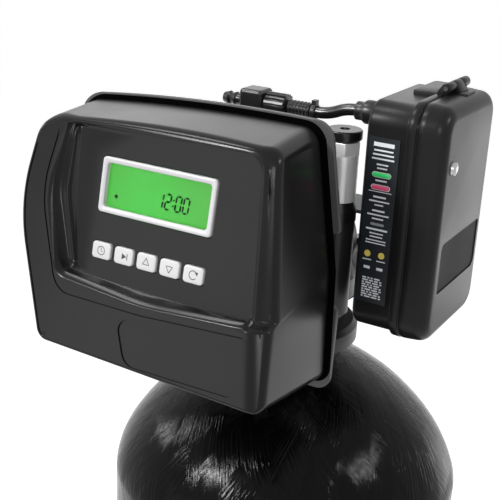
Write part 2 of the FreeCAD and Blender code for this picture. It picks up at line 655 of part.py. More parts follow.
# Corners across and up the leaning face, with the radius of each: the apron runs round the
# panel's left and lower sides and leans more, the room is the cover's inside behind the panel
APRON_OUTLINE = [(-127, 211, 22), (-137, 143, 110), (-99, 48, 12), (90, 43.5, 6), (68.5, 215, 12)]
ROOM_OUTLINE = [(-86, 202, 8), (-87, 140, 60), (-84, 50, 8), (76, 50, 6), (60, 202, 8)]
TRAY_OUTLINE = [(-100, 232, 4), (-108, 152, 70), (-92, 89, 10), (120, 86, 4), (120, 232, 4)]
GROOVE_OUTLINE = [(-97, 200, 1.5), (-104.5, 152, 40), (-91, 93, 1.5), (-85, 93, 1.5), (-91, 200, 1.5)]
PANEL_OUTLINE = [(-91, 201, 8), (-20, 208, 200), (55, 205, 14), (66, 96, 5), (-85, 96, 5)]
RECESS_OUTLINE = [(-33, 81, 8), (61, 84, 8), (68, 51, 6), (-20, 51, 10)]


def make_rear_plate():
    """The upright plate behind the control head, which carries the drive and the board."""
    back = -size("plate_front") + size("plate_thick")
    wire = rounded_wire(PLATE_OUTLINE, upright_point(back))
    solid = Part.Face(wire).extrude(Vector(0, -size("plate_thick"), 0))
    solid = solid.cut(Part.makeCylinder(
        size("cap_radius"), 40, Vector(0, back + 1, size("deck_height") + size("barrel_height")),
        Vector(0, -1, 0)))
    lean = math.radians(size("face_tilt"))
    board_back = -size("board_depth") - size("board_thick")
    posts = []
    for across, rise in post_places():
        start = (-size("face_reach") + rise * math.sin(lean) - back
                 + size("plate_thick") / 2) / math.cos(lean)
        low = face_point(start)(Vector(across, rise, 0))
        high = face_point(board_back)(Vector(across, rise, 0))
        posts.append(Part.makeCylinder(size("post_radius"), (high - low).Length, low, high - low))
    shaped("drive_bracket", solid.fuse(posts).removeSplitter())


def post_places():
    """Across and rise of the four posts under the circuit board."""
    edge = 6
    left, right = size("board_left") + edge, size("board_right") - edge
    low, high = size("board_low") + edge, size("board_high") - edge
    return [(left, high), (right, high), (right, low), (left, (low + high) / 2)]


def cover_form():
    """The head cover's outer form, from its rear rim to the rounded edge of its apron."""
    sections = [rounded_wire(REAR_OUTLINE, upright_point(-size("cover_back")))]
    depth, edge = size("shoulder_depth"), size("shoulder_inset")
    for share in (0, 0.5, 0.85, 1):
        out = -depth * (1 - math.sin(share * math.pi / 2))
        step = edge * (1 - math.cos(share * math.pi / 2))
        sections.append(rounded_wire(inset(APRON_OUTLINE, step), face_point(out, "apron")))
    return Part.makeLoft(sections, True, True)


def cover_room():
    """The hollow inside the head cover."""
    wall = size("cover_wall")
    return Part.makeLoft([
        rounded_wire(inset(REAR_OUTLINE, wall), upright_point(-size("cover_back") + 0.5)),
        rounded_wire(inset(APRON_OUTLINE, wall + 4), face_point(-size("room_depth"))),
        rounded_wire(ROOM_OUTLINE, face_point(-wall))], True, True)


def raised(outline, low, high, plane="face"):
    """A solid over an outline on a leaning plane, between two heights off it."""
    face = Part.Face(rounded_wire(outline, face_point(low, plane)))
    return face.extrude(face_point(high, plane)(Vector()) - face_point(low, plane)(Vector()))


def make_front_cover():
    """The moulded head cover: a shell with an apron, a sunk panel, its window and key holes."""
    rise, wall, depth = size("panel_rise"), size("cover_wall"), size("recess_depth")
    far = 40
    shell = cover_form().cut(raised(TRAY_OUTLINE, -rise, far))
    shell = shell.cut(raised(GROOVE_OUTLINE, -size("groove_depth"), far)).cut(cover_room())
    panel = raised(PANEL_OUTLINE, -wall, 0).common(cover_form())
    recess = raised(RECESS_OUTLINE, -depth, depth, "apron")
    piece = shaped("cover_shell", shell.fuse(panel).cut(recess).removeSplitter())
    edge = "bezel_width + part_gap / 3"
    window = face_block("window_hole", f"screen_wide + 2 * ({edge})", f"screen_tall + 2 * ({edge})",
                        20, f"screen_left - ({edge})", f"screen_low - ({edge})", "-10")
    holes = [face_block(f"key_hole_{number}", "button_wide + 2 * button_gap",
                        "button_tall + 2 * button_gap", 20,
                        f"button_left - button_gap + {number} * button_pitch",
                        "button_low - button_gap", "-10") for number in range(len(BUTTONS))]
    cut("front_cover", piece, window, *holes)


BUTTONS = ["clock_button", "next_button", "up_button", "down_button", "cycle_button"]


def make_controls():
    """The display with its bezel and lens, the five keys and the board that they work."""
    bezel = face_block("bezel_block", "screen_wide + 2 * bezel_width",
                       "screen_tall + 2 * bezel_width", "cover_wall + bezel_rise",
                       "screen_left - bezel_width", "screen_low - bezel_width", "-cover_wall")
    view = face_block("bezel_view", "screen_wide", "screen_tall", 30, "screen_left",
                      "screen_low", "-15")
    cut("lcd_bezel", bezel, view)
    face_block("lcd_lens", "screen_wide - 0.2", "screen_tall - 0.2", "lens_thick",
               "screen_left + 0.1", "screen_low + 0.1", "-lens_thick")
    face_block("lcd_module", "screen_wide + 4", "screen_tall + 4",
               "board_depth - cover_wall - part_gap", "screen_left - 2", "screen_low - 2",
               "-board_depth")
    board = face_block("board_sheet", "board_right - board_left", "board_high - board_low",
                       "board_thick", "board_left", "board_low", "-board_depth - board_thick")
    switch = 6
    switches = [face_block(f"switch_{number}", switch, switch,
                           "board_depth - cover_wall - 5 - button_travel",
                           f"button_left + button_wide / 2 - {switch / 2} + {number} * button_pitch",
                           f"button_low + button_tall / 2 - {switch / 2}", "-board_depth")
                for number in range(len(BUTTONS))]
    fused("circuit_board", board, *switches)
    lip = 1.2
    for number, name in enumerate(BUTTONS):
        left = f"button_left + {number} * button_pitch"
        key = face_block(f"{name}_key", "button_wide", "button_tall",
                         "cover_wall + part_gap + button_rise", left, "button_low",
                         "-cover_wall - part_gap")
        flange = face_block(f"{name}_flange", f"button_wide + {2 * lip}", f"button_tall + {2 * lip}",
                            1.4, f"{left} - {lip}", f"button_low - {lip}",
                            "-cover_wall - part_gap - 1.4")
        stem = face_block(f"{name}_stem", 5, 5, 3, f"{left} + button_wide / 2 - 2.5",
                          "button_low + button_tall / 2 - 2.5", "-cover_wall - part_gap - 4.4")
        fused(name, key, flange, stem)


# Ozone generator box

HOSE_HEIGHT = "deck_height + box_low + box_tall - hose_drop"


def make_ozone_box():
    """The upright box: a back shell and a lid hinged at the top, meeting at an upright seam."""
    low, tall = "deck_height + box_low", "box_tall"
    body = rounded("back_block", block(
        "back_raw", "seam_depth", "box_deep", tall, "box_side", "-box_front", low),
        size("box_corner"), runs_along("x"))
    rim = rounded("back_rim", block(
        "back_rim_raw", "rim_thick", "box_deep + 2 * rim_proud", "box_tall + 2 * rim_proud",
        "box_side + seam_depth - rim_thick", "-box_front - rim_proud",
        "deck_height + box_low - rim_proud"), size("box_corner") + size("rim_proud"),
        runs_along("x"))
    hollow = block("back_hollow", "seam_depth", "box_deep - 2 * box_wall",
                   "box_tall - 2 * box_wall", "box_side + box_wall",
                   "-box_front + box_wall", "deck_height + box_low + box_wall")
    hollow = rounded("back_room", hollow, size("box_corner") - size("box_wall"), runs_along("x"))
    hinge_y = "-box_front + box_deep - hinge_length - hinge_end"
    third = "hinge_length / 3"
    seam_x = "box_side + seam_depth + part_gap / 2"
    saddle = "hinge_radius + 0.8"
    knuckle_z = f"deck_height + box_low + box_tall + rim_proud + {saddle} + part_gap"
    ends = []
    for number in (0, 2):
        start = f"{hinge_y} + {number} * ({third})"
        ends.append(cylinder(f"knuckle_{number}", saddle, f"({third}) - 0.3", x=seam_x, y=start,
                             z=knuckle_z, facing="back"))
        ends.append(block(f"knuckle_foot_{number}", "rim_thick + 3", f"({third}) - 0.3",
                          "hinge_radius + 2", "box_side + seam_depth - rim_thick - 3", start,
                          "deck_height + box_low + box_tall + rim_proud - 2"))
    shell = fused("back_solid", body, rim, *ends)
    pin_hole = cylinder("pin_hole", "hinge_radius / 2 + running_gap", "hinge_length", x=seam_x,
                        y=hinge_y, z=knuckle_z, facing="back")
    lid_room = block("lid_clearance", "20", f"({third}) + 0.4", "20", "box_side + seam_depth - 8",
                     f"{hinge_y} + ({third}) - 0.35",
                     "deck_height + box_low + box_tall + rim_proud + 0.01")
    mouth = block("seam_clearance", "20", "box_deep + 40", "box_tall + rim_proud + 4",
                  "box_side + seam_depth", "-box_front - 20",
                  "deck_height + box_low - rim_proud - 5")
    hose_hole = cylinder("hose_hole", "hose_radius", "20", x="box_side - 8", y="-hose_front",
                         z=HOSE_HEIGHT, facing="right")
    # A square hole keeps the cord gland from turning
    gland_hole = block("gland_hole", "gland_side + 0.2", "20", "gland_side + 0.2",
                       "box_side + seam_depth / 2 - gland_side / 2 - 0.1",
                       "-box_front + box_deep - 8",
                       "deck_height + box_low + gland_rise - gland_side / 2 - 0.1")
    cut("box_shell", shell, hollow, pin_hole, lid_room, mouth, hose_hole, gland_hole)
    cylinder("hinge_pin", "hinge_radius / 2", "hinge_length", x=seam_x, y=hinge_y, z=knuckle_z,
             facing="back")
    lid_x = "box_side + seam_depth + part_gap"
    lid_deep = "box_wide - seam_depth - part_gap"
    lid_body = rounded("lid_block", block("lid_raw", lid_deep, "box_deep", tall, lid_x,
                                          "-box_front", low), size("lid_corner"),
                       lambda edge: runs_along("x")(edge) or edge.CenterOfMass.x
                       > size("box_side") + size("box_wide") - 0.1)
    lid_rim = rounded("lid_rim", block(
        "lid_rim_raw", "rim_thick", "box_deep + 2 * rim_proud", "box_tall + 2 * rim_proud", lid_x,
        "-box_front - rim_proud", "deck_height + box_low - rim_proud"),
        size("box_corner") + size("rim_proud"), runs_along("x"))
    lid_hollow = rounded("lid_room", block(
        "lid_room_raw", f"{lid_deep} - box_wall", "box_deep - 2 * box_wall",
        "box_tall - 2 * box_wall", lid_x, "-box_front + box_wall",
        "deck_height + box_low + box_wall"), size("lid_corner") - size("box_wall"),
        lambda edge: runs_along("x")(edge) or edge.CenterOfMass.x
        > size("box_side") + size("box_wide") - size("box_wall") - 0.1)
    middle = cylinder("lid_knuckle", saddle, f"({third}) - 0.3", x=seam_x,
                      y=f"{hinge_y} + ({third})", z=knuckle_z, facing="back")
    middle_foot = block("lid_knuckle_foot", "rim_thick + 3", f"({third}) - 0.3",
                        "hinge_radius + 2", lid_x, f"{hinge_y} + ({third})",
                        "deck_height + box_low + box_tall + rim_proud - 2")
    lid_whole = fused("lid_solid", lid_body, lid_rim, middle, middle_foot)
    lid_pin_hole = cylinder("lid_pin_hole", "hinge_radius / 2 + running_gap", "hinge_length",
                            x=seam_x, y=hinge_y, z=knuckle_z, facing="back")
    under = block("lid_back_clearance", "20", "box_deep + 40", "box_tall + 12",
                  "box_side + seam_depth + part_gap - 20", "-box_front - 20",
                  "deck_height + box_low - rim_proud - 9")
    screw_hole = cylinder("screw_hole", "screw_radius", "20", x="box_side + box_wide - 10",
                          y="-box_front + lid_screw_back",
                          z="deck_height + box_low + lid_screw_rise", facing="right")
    cut("box_lid", lid_whole, lid_hollow, lid_pin_hole, under, screw_hole)
    ring_raw = block("gasket_outer", "rim_thick / 2", "box_deep - 2 * box_wall - 0.4",
                     "box_tall - 2 * box_wall - 0.4", "box_side + seam_depth - 4",
                     "-box_front + box_wall + 0.2", "deck_height + box_low + box_wall + 0.2")
    ring = rounded("gasket_round", ring_raw, size("box_corner") - size("box_wall"),
                   runs_along("x"))
    ring_hole = block("gasket_hole", "20", "box_deep - 2 * box_wall - 8",
                      "box_tall - 2 * box_wall - 8", "box_side + seam_depth - 10",
                      "-box_front + box_wall + 4", "deck_height + box_low + box_wall + 4")
    cut("box_gasket", ring, ring_hole)


def make_box_trim():
    """What shows on the box: its screw, label, lamps, hose fitting, gland and bracket."""
    turned("lid_screw", [
        (0, "-lid_screw_length"), ("screw_radius - 0.1", "-lid_screw_length"),
        ("screw_radius - 0.1", "0.01"),
        ("screw_radius + 2.5", "0.01"), ("screw_radius + 2", "1.8"),
        ("screw_radius - 0.5", "2.8"), (0, "2.8")],
        x="box_side + box_wide", y="-box_front + lid_screw_back",
        z="deck_height + box_low + lid_screw_rise", facing="right")
    label_x = "box_side + label_side"
    label_z = "deck_height + box_low + (box_tall - label_tall) / 2"
    block("label_plate", "label_wide", "label_thick", "label_tall", label_x,
          "-box_front - label_thick", label_z)
    for name in ("power_lamp", "cycle_lamp"):
        lamp = block(f"{name}_raw", "lamp_wide", "lamp_rise", "lamp_tall",
                     f"{label_x} + (label_wide - lamp_wide) / 2",
                     "-box_front - label_thick - lamp_rise", f"{label_z} + {name}_rise")
        rounded(name, lamp, 0.8, runs_along("y"))
    turned("hose_fitting", [
        ("hose_bore", "-5"), ("hose_radius - 0.1", "-5"), ("hose_radius - 0.1", "0.01"),
        ("hose_radius + 4.5", "0.01"), ("hose_radius + 4.5", "8"), ("hose_radius + 2.5", "11"),
        ("hose_radius + 2.5", "16"), ("hose_radius + 0.05", "16"), ("hose_radius + 0.05", "8"),
        ("hose_bore", "8")], x="box_side", y="-hose_front", z=HOSE_HEIGHT, facing="left")
    make_cord_gland()
    make_box_bracket()


def make_cord_gland():
    """The cord's way into the box: a square neck in the wall, and a round nut outside."""
    middle = {"x": "box_side + seam_depth / 2", "z": "deck_height + box_low + gland_rise"}
    face = "-box_front + box_deep"
    nut = turned("gland_nut", [
        (0, "0.01"), ("gland_radius", "0.01"), ("gland_radius", "7"),
        ("gland_radius - 2.5", "10"), ("gland_radius - 2.5", "gland_length"),
        (0, "gland_length")], y=face, facing="back", **middle)
    neck = block("gland_neck", "gland_side", "6 + 0.01", "gland_side",
                 f"{middle['x']} - gland_side / 2", f"{face} - 6",
                 f"{middle['z']} - gland_side / 2")
    bore = cylinder("gland_way", "gland_bore", "2 * gland_length", y=f"{face} - 8",
                    facing="back", **middle)
    cut("power_inlet", fused("gland_whole", nut, neck), bore)


def make_box_bracket():
    """The angle bracket from the turret's top to the back of the box, with its screws."""
    arm_y = "-bracket_wide / 2 + 8"
    top = "deck_height + turret_top"
    foot = block("bracket_foot", "box_side - bracket_thick + 8", "bracket_wide", "bracket_thick",
                 "-8", arm_y, top)
    wing = block("bracket_wing", "bracket_thick", "bracket_wide", "bracket_tall",
                 "box_side - bracket_thick", arm_y, f"{top} - bracket_drop")
    gusset = block("bracket_rib", "gusset_side", "bracket_thick", "gusset_side",
                   "box_side - bracket_thick - gusset_side",
                   f"{arm_y} + bracket_wide - bracket_thick", f"{top} - gusset_side")
    raw = fused("bracket_raw", foot, wing, gusset)
    holes = []
    screws = []
    for number, x in enumerate((4, 26)):
        spot = {"x": x, "y": f"{arm_y} + bracket_wide / 2"}
        holes.append(cylinder(f"foot_hole_{number}", "screw_radius", "20", z=f"{top} - 8", **spot))
        screws.append(turned(f"foot_screw_{number}", [
            (0, 0), ("screw_radius + 2.5", 0), ("screw_radius + 2.5", "3.5"), (0, "3.5")],
            z=f"{top} + bracket_thick", **spot))
    for number, rise in enumerate((10, 34)):
        spot = {"y": f"{arm_y} + bracket_wide / 2", "z": f"{top} + {rise}"}
        screws.append(turned(f"wing_screw_{number}", [
            (0, 0), ("screw_radius + 2", 0), ("screw_radius + 2", "3"), (0, "3")],
            x="box_side - bracket_thick", facing="left", **spot))
    cut("box_bracket", raw, *holes)
    fused("bracket_screws", *screws)


def make_box_inside():
    """The generator's own parts on the floor of the back shell."""
    floor_x = "box_side + box_wall"
    low = "deck_height + box_low + box_wall"
    front = "-box_front + box_wall"
    board = 2
    block("power_board", board, "box_deep - 2 * box_wall - 16", "power_board_tall", floor_x,
          f"{front} + 8", f"{low} + power_board_rise")
    block("transformer", "transformer_deep", "transformer_wide", "transformer_tall", floor_x,
          f"{front} + 26", f"{low} + 8")
    cylinder("ozone_cell", "cell_radius", "cell_length", x=f"{floor_x} + {board} + cell_radius",
             y=f"{front} + 22", z=f"{low} + cell_rise")
    pump = rounded("pump_round", block("pump_raw", "pump_deep", "pump_wide", "pump_tall",
                                       f"{floor_x} + {board}", f"{front} + 46",
                                       f"{low} + pump_rise"), 4)
    pump.Label = "air_pump"


# Ozone hose

def hose_route():
    """Points of the hose from the box to the ribbed nut, across and above the deck."""
    start = size("box_side") - 8
    end = -size("tower_side") + size("nut_start") + size("nut_socket")
    high, low = evaluate(HOSE_HEIGHT) - size("deck_height"), size("connector_height")
    return [(start, high), (54, high), (38, low), (end, low)]


def make_hose():
    """The hose as straight runs joined by tangent arcs, its ribbed sleeve and its tie."""
    deck, y = size("deck_height"), -size("hose_front")
    points = [Vector(x, y, deck + z) for x, z in hose_route()]
    edges, here = [], points[0]
    for index in range(1, len(points) - 1):
        back = points[index - 1] - points[index]
        ahead = points[index + 1] - points[index]
        half = back.getAngle(ahead) / 2
        reach = 0.45 * min(back.Length, ahead.Length)
        radius = reach * math.tan(half)
        print(f"hose bend {index}: radius {radius:.1f}")
        back.normalize()
        ahead.normalize()
        into, out = points[index] + back * reach, points[index] + ahead * reach
        middle = points[index] + (back + ahead).normalize() * (radius / math.sin(half) - radius)
        edges += [Part.LineSegment(here, into).toShape(), Part.Arc(into, middle, out).toShape()]
        here = out
    edges.append(Part.LineSegment(here, points[-1]).toShape())
    path = Part.Wire(edges)

    def tube(radius):
        ring = Part.Wire(Part.makeCircle(radius, points[0], points[1] - points[0]))
        return path.makePipeShell([ring], True, True)

    hose = tube(size("hose_radius")).cut(tube(size("hose_bore")))
    section = math.pi * (size("hose_radius") ** 2 - size("hose_bore") ** 2)
    print(f"hose volume {hose.Volume:.0f}, section times length {section * path.Length:.0f}")
    shaped("ozone_hose", hose)
    turned("hose_sleeve", [
        ("hose_radius + 0.05", 0), ("sleeve_radius - 1.2", 0)]
        + [(f"sleeve_radius - {0 if step % 2 else 1.2}", f"{1 + step * 1.5}")
           for step in range(14)]
        + [("hose_radius + 0.05", "20.5")],
        x="-tower_side + nut_start + nut_length + 0.1", y="-hose_front",
        z="deck_height + connector_height", facing="right")
    band = turned("tie_band", [
        ("hose_radius + 0.05", 0), ("hose_radius + 1.3", 0), ("hose_radius + 1.3", "4"),
        ("hose_radius + 0.05", "4")],
        x="-tower_side + nut_start + nut_length + tie_start", y="-hose_front",
        z="deck_height + connector_height", facing="right")
    lock = block("tie_lock", 4, 5, 4, "-tower_side + nut_start + nut_length + tie_start",
                 "-hose_front - 2.5", "deck_height + connector_height + hose_radius + 0.5")
    fused("cable_tie", band, lock)


NODES = ["tank_shell", "tank_boot", "riser_tube", "lower_basket", "upper_basket", "gravel_bed",
         "media_bed", "neck_seal", "valve_body", "spacer_stack", "main_piston", "drive_cap",
         "drive_bracket", "main_gear", "reduction_gear", "gear_axle", "motor_pinion",
         "drive_motor", "circuit_board", "lcd_module", "lcd_bezel", "lcd_lens", *BUTTONS,
         "front_cover", "inlet_adapter", "outlet_adapter", "union_nuts", "turbine_cage",
         "meter_turbine", "drain_elbow", "elbow_nut", "check_elbow", "check_body",
         "check_collar", "check_cap", "box_shell", "box_lid", "box_gasket", "hinge_pin",
         "lid_screw", "label_plate", "power_lamp", "cycle_lamp", "power_board", "transformer",
         "ozone_cell", "air_pump", "hose_fitting", "power_inlet", "box_bracket",
         "bracket_screws", "ozone_hose", "hose_sleeve", "cable_tie"]


def export_nodes():
    """Check every object, then write one file for each sub-part."""
    failed = [thing.Label for thing in doc.Objects
              if {"Invalid", "Error"} & set(thing.State)]
    if failed:
        raise SystemExit(f"objects that failed: {failed}")
    by_label = {thing.Label: thing for thing in doc.Objects}
    for name in NODES:
        shape = by_label[name].Shape
        if shape.isNull() or not shape.isValid() or not shape.Solids:
            raise SystemExit(f"{name} has no valid solid")
    os.makedirs("parts", exist_ok=True)
    for name in NODES:
        by_label[name].Shape.exportStep(os.path.join("parts", name + ".step"))
    print(f"{len(NODES)} sub-parts written")


fill_sheet()
make_tank()
make_valve_body()
make_piston_set()
make_drive()
make_connections()
make_top_elbow()
make_check_column()
make_rear_plate()
make_front_cover()
make_controls()
make_ozone_box()
make_box_trim()
make_box_inside()
make_hose()
doc.recompute()
export_nodes()
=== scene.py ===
# %% [markdown]
# An ozone water treatment system: a tall wound tank with a control head on its neck and an ozone
# generator box beside the head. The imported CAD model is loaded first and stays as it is. The lesson
# then dresses it: shells that show in the photo are built again with softer forms, and every other
# piece gets a finish made of shader nodes.

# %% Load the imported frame
import json
import math

import bmesh
import bpy
from mathutils import Matrix, Vector
from mathutils.geometry import tessellate_polygon


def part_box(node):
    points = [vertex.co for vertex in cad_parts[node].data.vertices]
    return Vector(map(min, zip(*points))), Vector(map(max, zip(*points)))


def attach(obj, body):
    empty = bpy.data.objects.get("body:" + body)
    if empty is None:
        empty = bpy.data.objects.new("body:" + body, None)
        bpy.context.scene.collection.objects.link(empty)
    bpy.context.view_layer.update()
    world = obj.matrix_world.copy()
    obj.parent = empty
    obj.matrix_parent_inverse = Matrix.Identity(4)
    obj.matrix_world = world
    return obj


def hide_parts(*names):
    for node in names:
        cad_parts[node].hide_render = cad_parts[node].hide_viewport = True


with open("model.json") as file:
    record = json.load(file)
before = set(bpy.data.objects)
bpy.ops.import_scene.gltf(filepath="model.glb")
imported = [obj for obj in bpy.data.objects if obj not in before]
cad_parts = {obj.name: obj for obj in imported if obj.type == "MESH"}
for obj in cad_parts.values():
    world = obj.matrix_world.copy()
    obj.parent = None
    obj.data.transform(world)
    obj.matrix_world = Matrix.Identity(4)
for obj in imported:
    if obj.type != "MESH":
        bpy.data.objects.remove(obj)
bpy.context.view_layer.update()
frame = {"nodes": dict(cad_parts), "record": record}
nodes = frame["nodes"]
slot_of = {row["node"]: row["material_slot"] for row in frame["record"]["subparts"]}

# %% [markdown]
# The lengths below are millimetres, as on a drawing, with heights measured from the deck: the plane
# on top of the tank's neck. One function turns them into the scene's metres.

# %% Millimetres above the deck
MM = 0.001
SHELL_UNDER_DECK = 0.3
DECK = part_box("tank_shell")[1].z + SHELL_UNDER_DECK * MM


def at(x, y, z):
    return Vector((x * MM, y * MM, DECK + z * MM))


print(f"the deck is {DECK:.3f} m above the floor")

# %% [markdown]
# The photo was taken from the right and a little above, close to the head. The camera's place and
# its three turns came from fitting the tank's outline and the head's straight edges, so they are
# written here as plain values. The lens is the fitted one for a 36 mm wide picture.

# %% The camera
CAMERA_PLACE = at(367.5, -726.1, 373.6)
CAMERA_YAW, CAMERA_PITCH, CAMERA_ROLL = (math.radians(turn) for turn in (29.7, 20.4, 2.7))
CAMERA_LENS, PICTURE_WIDE, NEAREST_SEEN = 73.68, 36, 0.01


def aim_camera():
    ahead = Vector((-math.sin(CAMERA_YAW) * math.cos(CAMERA_PITCH),
                    math.cos(CAMERA_YAW) * math.cos(CAMERA_PITCH), -math.sin(CAMERA_PITCH)))
    level = ahead.cross(Vector((0, 0, 1))).normalized()
    above = level.cross(ahead)
    right = math.cos(CAMERA_ROLL) * level + math.sin(CAMERA_ROLL) * above
    up = -math.sin(CAMERA_ROLL) * level + math.cos(CAMERA_ROLL) * above
    data = bpy.data.cameras.new("photo_camera")
    data.lens, data.sensor_width, data.clip_start = CAMERA_LENS, PICTURE_WIDE, NEAREST_SEEN
    camera = bpy.data.objects.new("photo_camera", data)
    turned = Matrix((right, up, -ahead)).transposed().to_4x4()
    camera.matrix_world = Matrix.Translation(CAMERA_PLACE) @ turned
    bpy.context.scene.collection.objects.link(camera)
    bpy.context.scene.camera = camera


aim_camera()
print(f"camera: a {CAMERA_LENS} mm lens at {[round(part, 3) for part in CAMERA_PLACE]} m")

# %% [markdown]
# The studio is plain: a pale floor, white all round for the camera and for reflections, and eight
# soft lamps. The white comes from the Light Path node, which tells rays that see the background
# from rays that light the object. The helper for maths nodes serves every node tree below.

# %% Studio: floor and background
WORLD_LIGHT, WHITE = 0.34, (1, 1, 1, 1)
FLOOR_TONE, FLOOR_GLOW, FLOOR_ROUGHNESS, FLOOR_REACH = 0.8, 0.68, 0.9, 30
# A square's corners, for the floor and for flat marks.
SQUARE = ((-1, -1), (1, -1), (1, 1), (-1, 1))


def maths(tree, operation, *values, clamp=False):
    """A maths node whose inputs are numbers or other nodes' outputs."""
    node = tree.nodes.new("ShaderNodeMath")
    node.operation, node.use_clamp = operation, clamp
    for socket, value in zip(node.inputs, values):
        if isinstance(value, (int, float)):
            socket.default_value = value
        else:
            tree.links.new(value, socket)
    return node.outputs[0]


def light_path_white(tree):
    """A value that is 1 for rays that see the background directly or in gloss and glass."""
    path = tree.nodes.new("ShaderNodeLightPath")
    total = path.outputs["Is Camera Ray"]
    for ray in ("Is Glossy Ray", "Is Transmission Ray"):
        total = maths(tree, "MAXIMUM", total, path.outputs[ray])
    return total


def build_background():
    world = bpy.data.worlds.new("studio")
    world.use_nodes = True
    bpy.context.scene.world = world
    tree = world.node_tree
    tree.nodes.clear()
    mix, out = tree.nodes.new("ShaderNodeMixShader"), tree.nodes.new("ShaderNodeOutputWorld")
    tree.links.new(light_path_white(tree), mix.inputs[0])
    for number, strength in ((1, WORLD_LIGHT), (2, 1)):
        background = tree.nodes.new("ShaderNodeBackground")
        background.inputs["Color"].default_value = WHITE
        background.inputs["Strength"].default_value = strength
        tree.links.new(background.outputs[0], mix.inputs[number])
    tree.links.new(mix.outputs[0], out.inputs["Surface"])


def build_floor():
    mesh = bpy.data.meshes.new("floor")
    corners = [(x * FLOOR_REACH, y * FLOOR_REACH, 0) for x, y in SQUARE]
    mesh.from_pydata(corners, [], [(0, 1, 2, 3)])
    floor = bpy.data.objects.new("floor", mesh)
    bpy.context.scene.collection.objects.link(floor)
    material = bpy.data.materials.new("pale_floor")
    material.use_nodes = True
    tree = material.node_tree
    shader = tree.nodes["Principled BSDF"]
    shader.inputs["Base Color"].default_value = (FLOOR_TONE, FLOOR_TONE, FLOOR_TONE, 1)
    shader.inputs["Roughness"].default_value = FLOOR_ROUGHNESS
    shader.inputs["Emission Color"].default_value = WHITE
    tree.links.new(maths(tree, "MULTIPLY", light_path_white(tree), FLOOR_GLOW),
                   shader.inputs["Emission Strength"])
    mesh.materials.append(material)


build_background()
build_floor()
bpy.context.scene.view_settings.view_transform = "Standard"
print(f"studio: a floor of {2 * FLOOR_REACH} m and a white background")

# %% [markdown]
# Black plastic shows almost nothing but reflections, so the lamps' sizes and places matter more than
# their power. One high on the left lights the whole, and the small one beside it draws the bright
# lines along the cover's upper edges and its ledge. The one in front on the left lifts the panel,
# and the two behind lie where the cover's top and the box's lid mirror them. Two small ones beside
# the tank draw the streaks down its sides, and the last fills the gap beside the valve.

# %% Studio: lamps
HEAD_MIDDLE = at(0, -100, 100)
# Each lamp's place and aim in metres, its width and height, and its power in watts.
LAMPS = {
    "high_left_box": ((-1.15, -0.4, 3.3), HEAD_MIDDLE, 0.5, 0.5, 16),
    "edge_line_box": ((-0.97, -1.68, 2.52), HEAD_MIDDLE, 0.3, 0.3, 34),
    "front_left_box": ((-1.15, -2.2, 1.4), HEAD_MIDDLE, 0.9, 0.9, 6),
    "back_left_box": ((-1.15, 2.0, 2.15), HEAD_MIDDLE, 1.3, 0.9, 2.4),
    "back_right_box": ((0.72, 1.85, 0.79), at(120, 0, 130), 0.5, 0.6, 1.8),
    "glint_left_box": ((-2.0, -0.3, 1.9), at(-100, 0, -60), 0.3, 0.3, 7),
    "glint_right_box": ((1.75, 0.24, 2.6), at(100, -60, -70), 0.3, 0.3, 11),
    "front_right_fill": ((0.95, -2.0, 2.02), at(48, -30, 150), 0.5, 0.5, 13),
}


def soft_lamp(name, place, target, wide, tall, power):
    data = bpy.data.lights.new(name, "AREA")
    data.shape, data.size, data.size_y, data.energy = "RECTANGLE", wide, tall, power
    lamp = bpy.data.objects.new(name, data)
    lamp.location = place
    lamp.rotation_euler = (Vector(target) - Vector(place)).to_track_quat("-Z", "Y").to_euler()
    bpy.context.scene.collection.objects.link(lamp)


for name, row in LAMPS.items():
    soft_lamp(name, *row)
print(f"{len(LAMPS)} lamps")

# %% [markdown]
# Effects that several finishes share are shader node groups, built once. Each reads the place on
# the object and puts out plain values: a height for a bump, a shade to mix into the colour and a
# change of roughness. The first helper below builds a group's sockets and hands back its node tree.

# %% Helpers for node groups
# Nearly all values of a noise lie in this span.
NOISE_SPAN = (0.3, 0.7)


def new_group(name, inputs, outputs):
    group = bpy.data.node_groups.new(name, "ShaderNodeTree")
    for socket, value in inputs.items():
        item = group.interface.new_socket(socket, in_out="INPUT", socket_type="NodeSocketFloat")
        item.default_value = value
    for socket in outputs:
        group.interface.new_socket(socket, in_out="OUTPUT", socket_type="NodeSocketFloat")
    return group, group.nodes.new("NodeGroupInput"), group.nodes.new("NodeGroupOutput")


def ramp(tree, value, low, high, to_low=0.0, to_high=1.0):
    """A value spread evenly from one span onto another and held at its ends."""
    node = tree.nodes.new("ShaderNodeMapRange")
    tree.links.new(value, node.inputs["Value"])
    for socket, number in zip(("From Min", "From Max", "To Min", "To Max"),
                              (low, high, to_low, to_high)):
        node.inputs[socket].default_value = number
    return node.outputs[0]


def noise(tree, place, size_mm, detail, roughness=0.5):
    """Noise with features of about one size, in millimetres or read from a socket."""
    node = tree.nodes.new("ShaderNodeTexNoise")
    tree.links.new(place, node.inputs["Vector"])
    node.inputs["Detail"].default_value = detail
    node.inputs["Roughness"].default_value = roughness
    if isinstance(size_mm, (int, float)):
        node.inputs["Scale"].default_value = 1 / (size_mm * MM)
    else:
        tree.links.new(maths(tree, "DIVIDE", 1 / MM, size_mm), node.inputs["Scale"])
    return node.outputs["Fac"]


def object_place(tree):
    return tree.nodes.new("ShaderNodeTexCoord").outputs["Object"]


# %% [markdown]
# Moulded plastic has a fine pebbled grain from the mould's etched wall, and over a hand's width its
# shade and gloss drift a little where the plastic cooled at different rates. Two scales of noise
# give both: the small one as a height, the large one as a shade and a change of roughness.

# %% Group: moulded grain
FINE_SHARE, GLOSS_SPAN = 0.3, (0.45, 0.85)


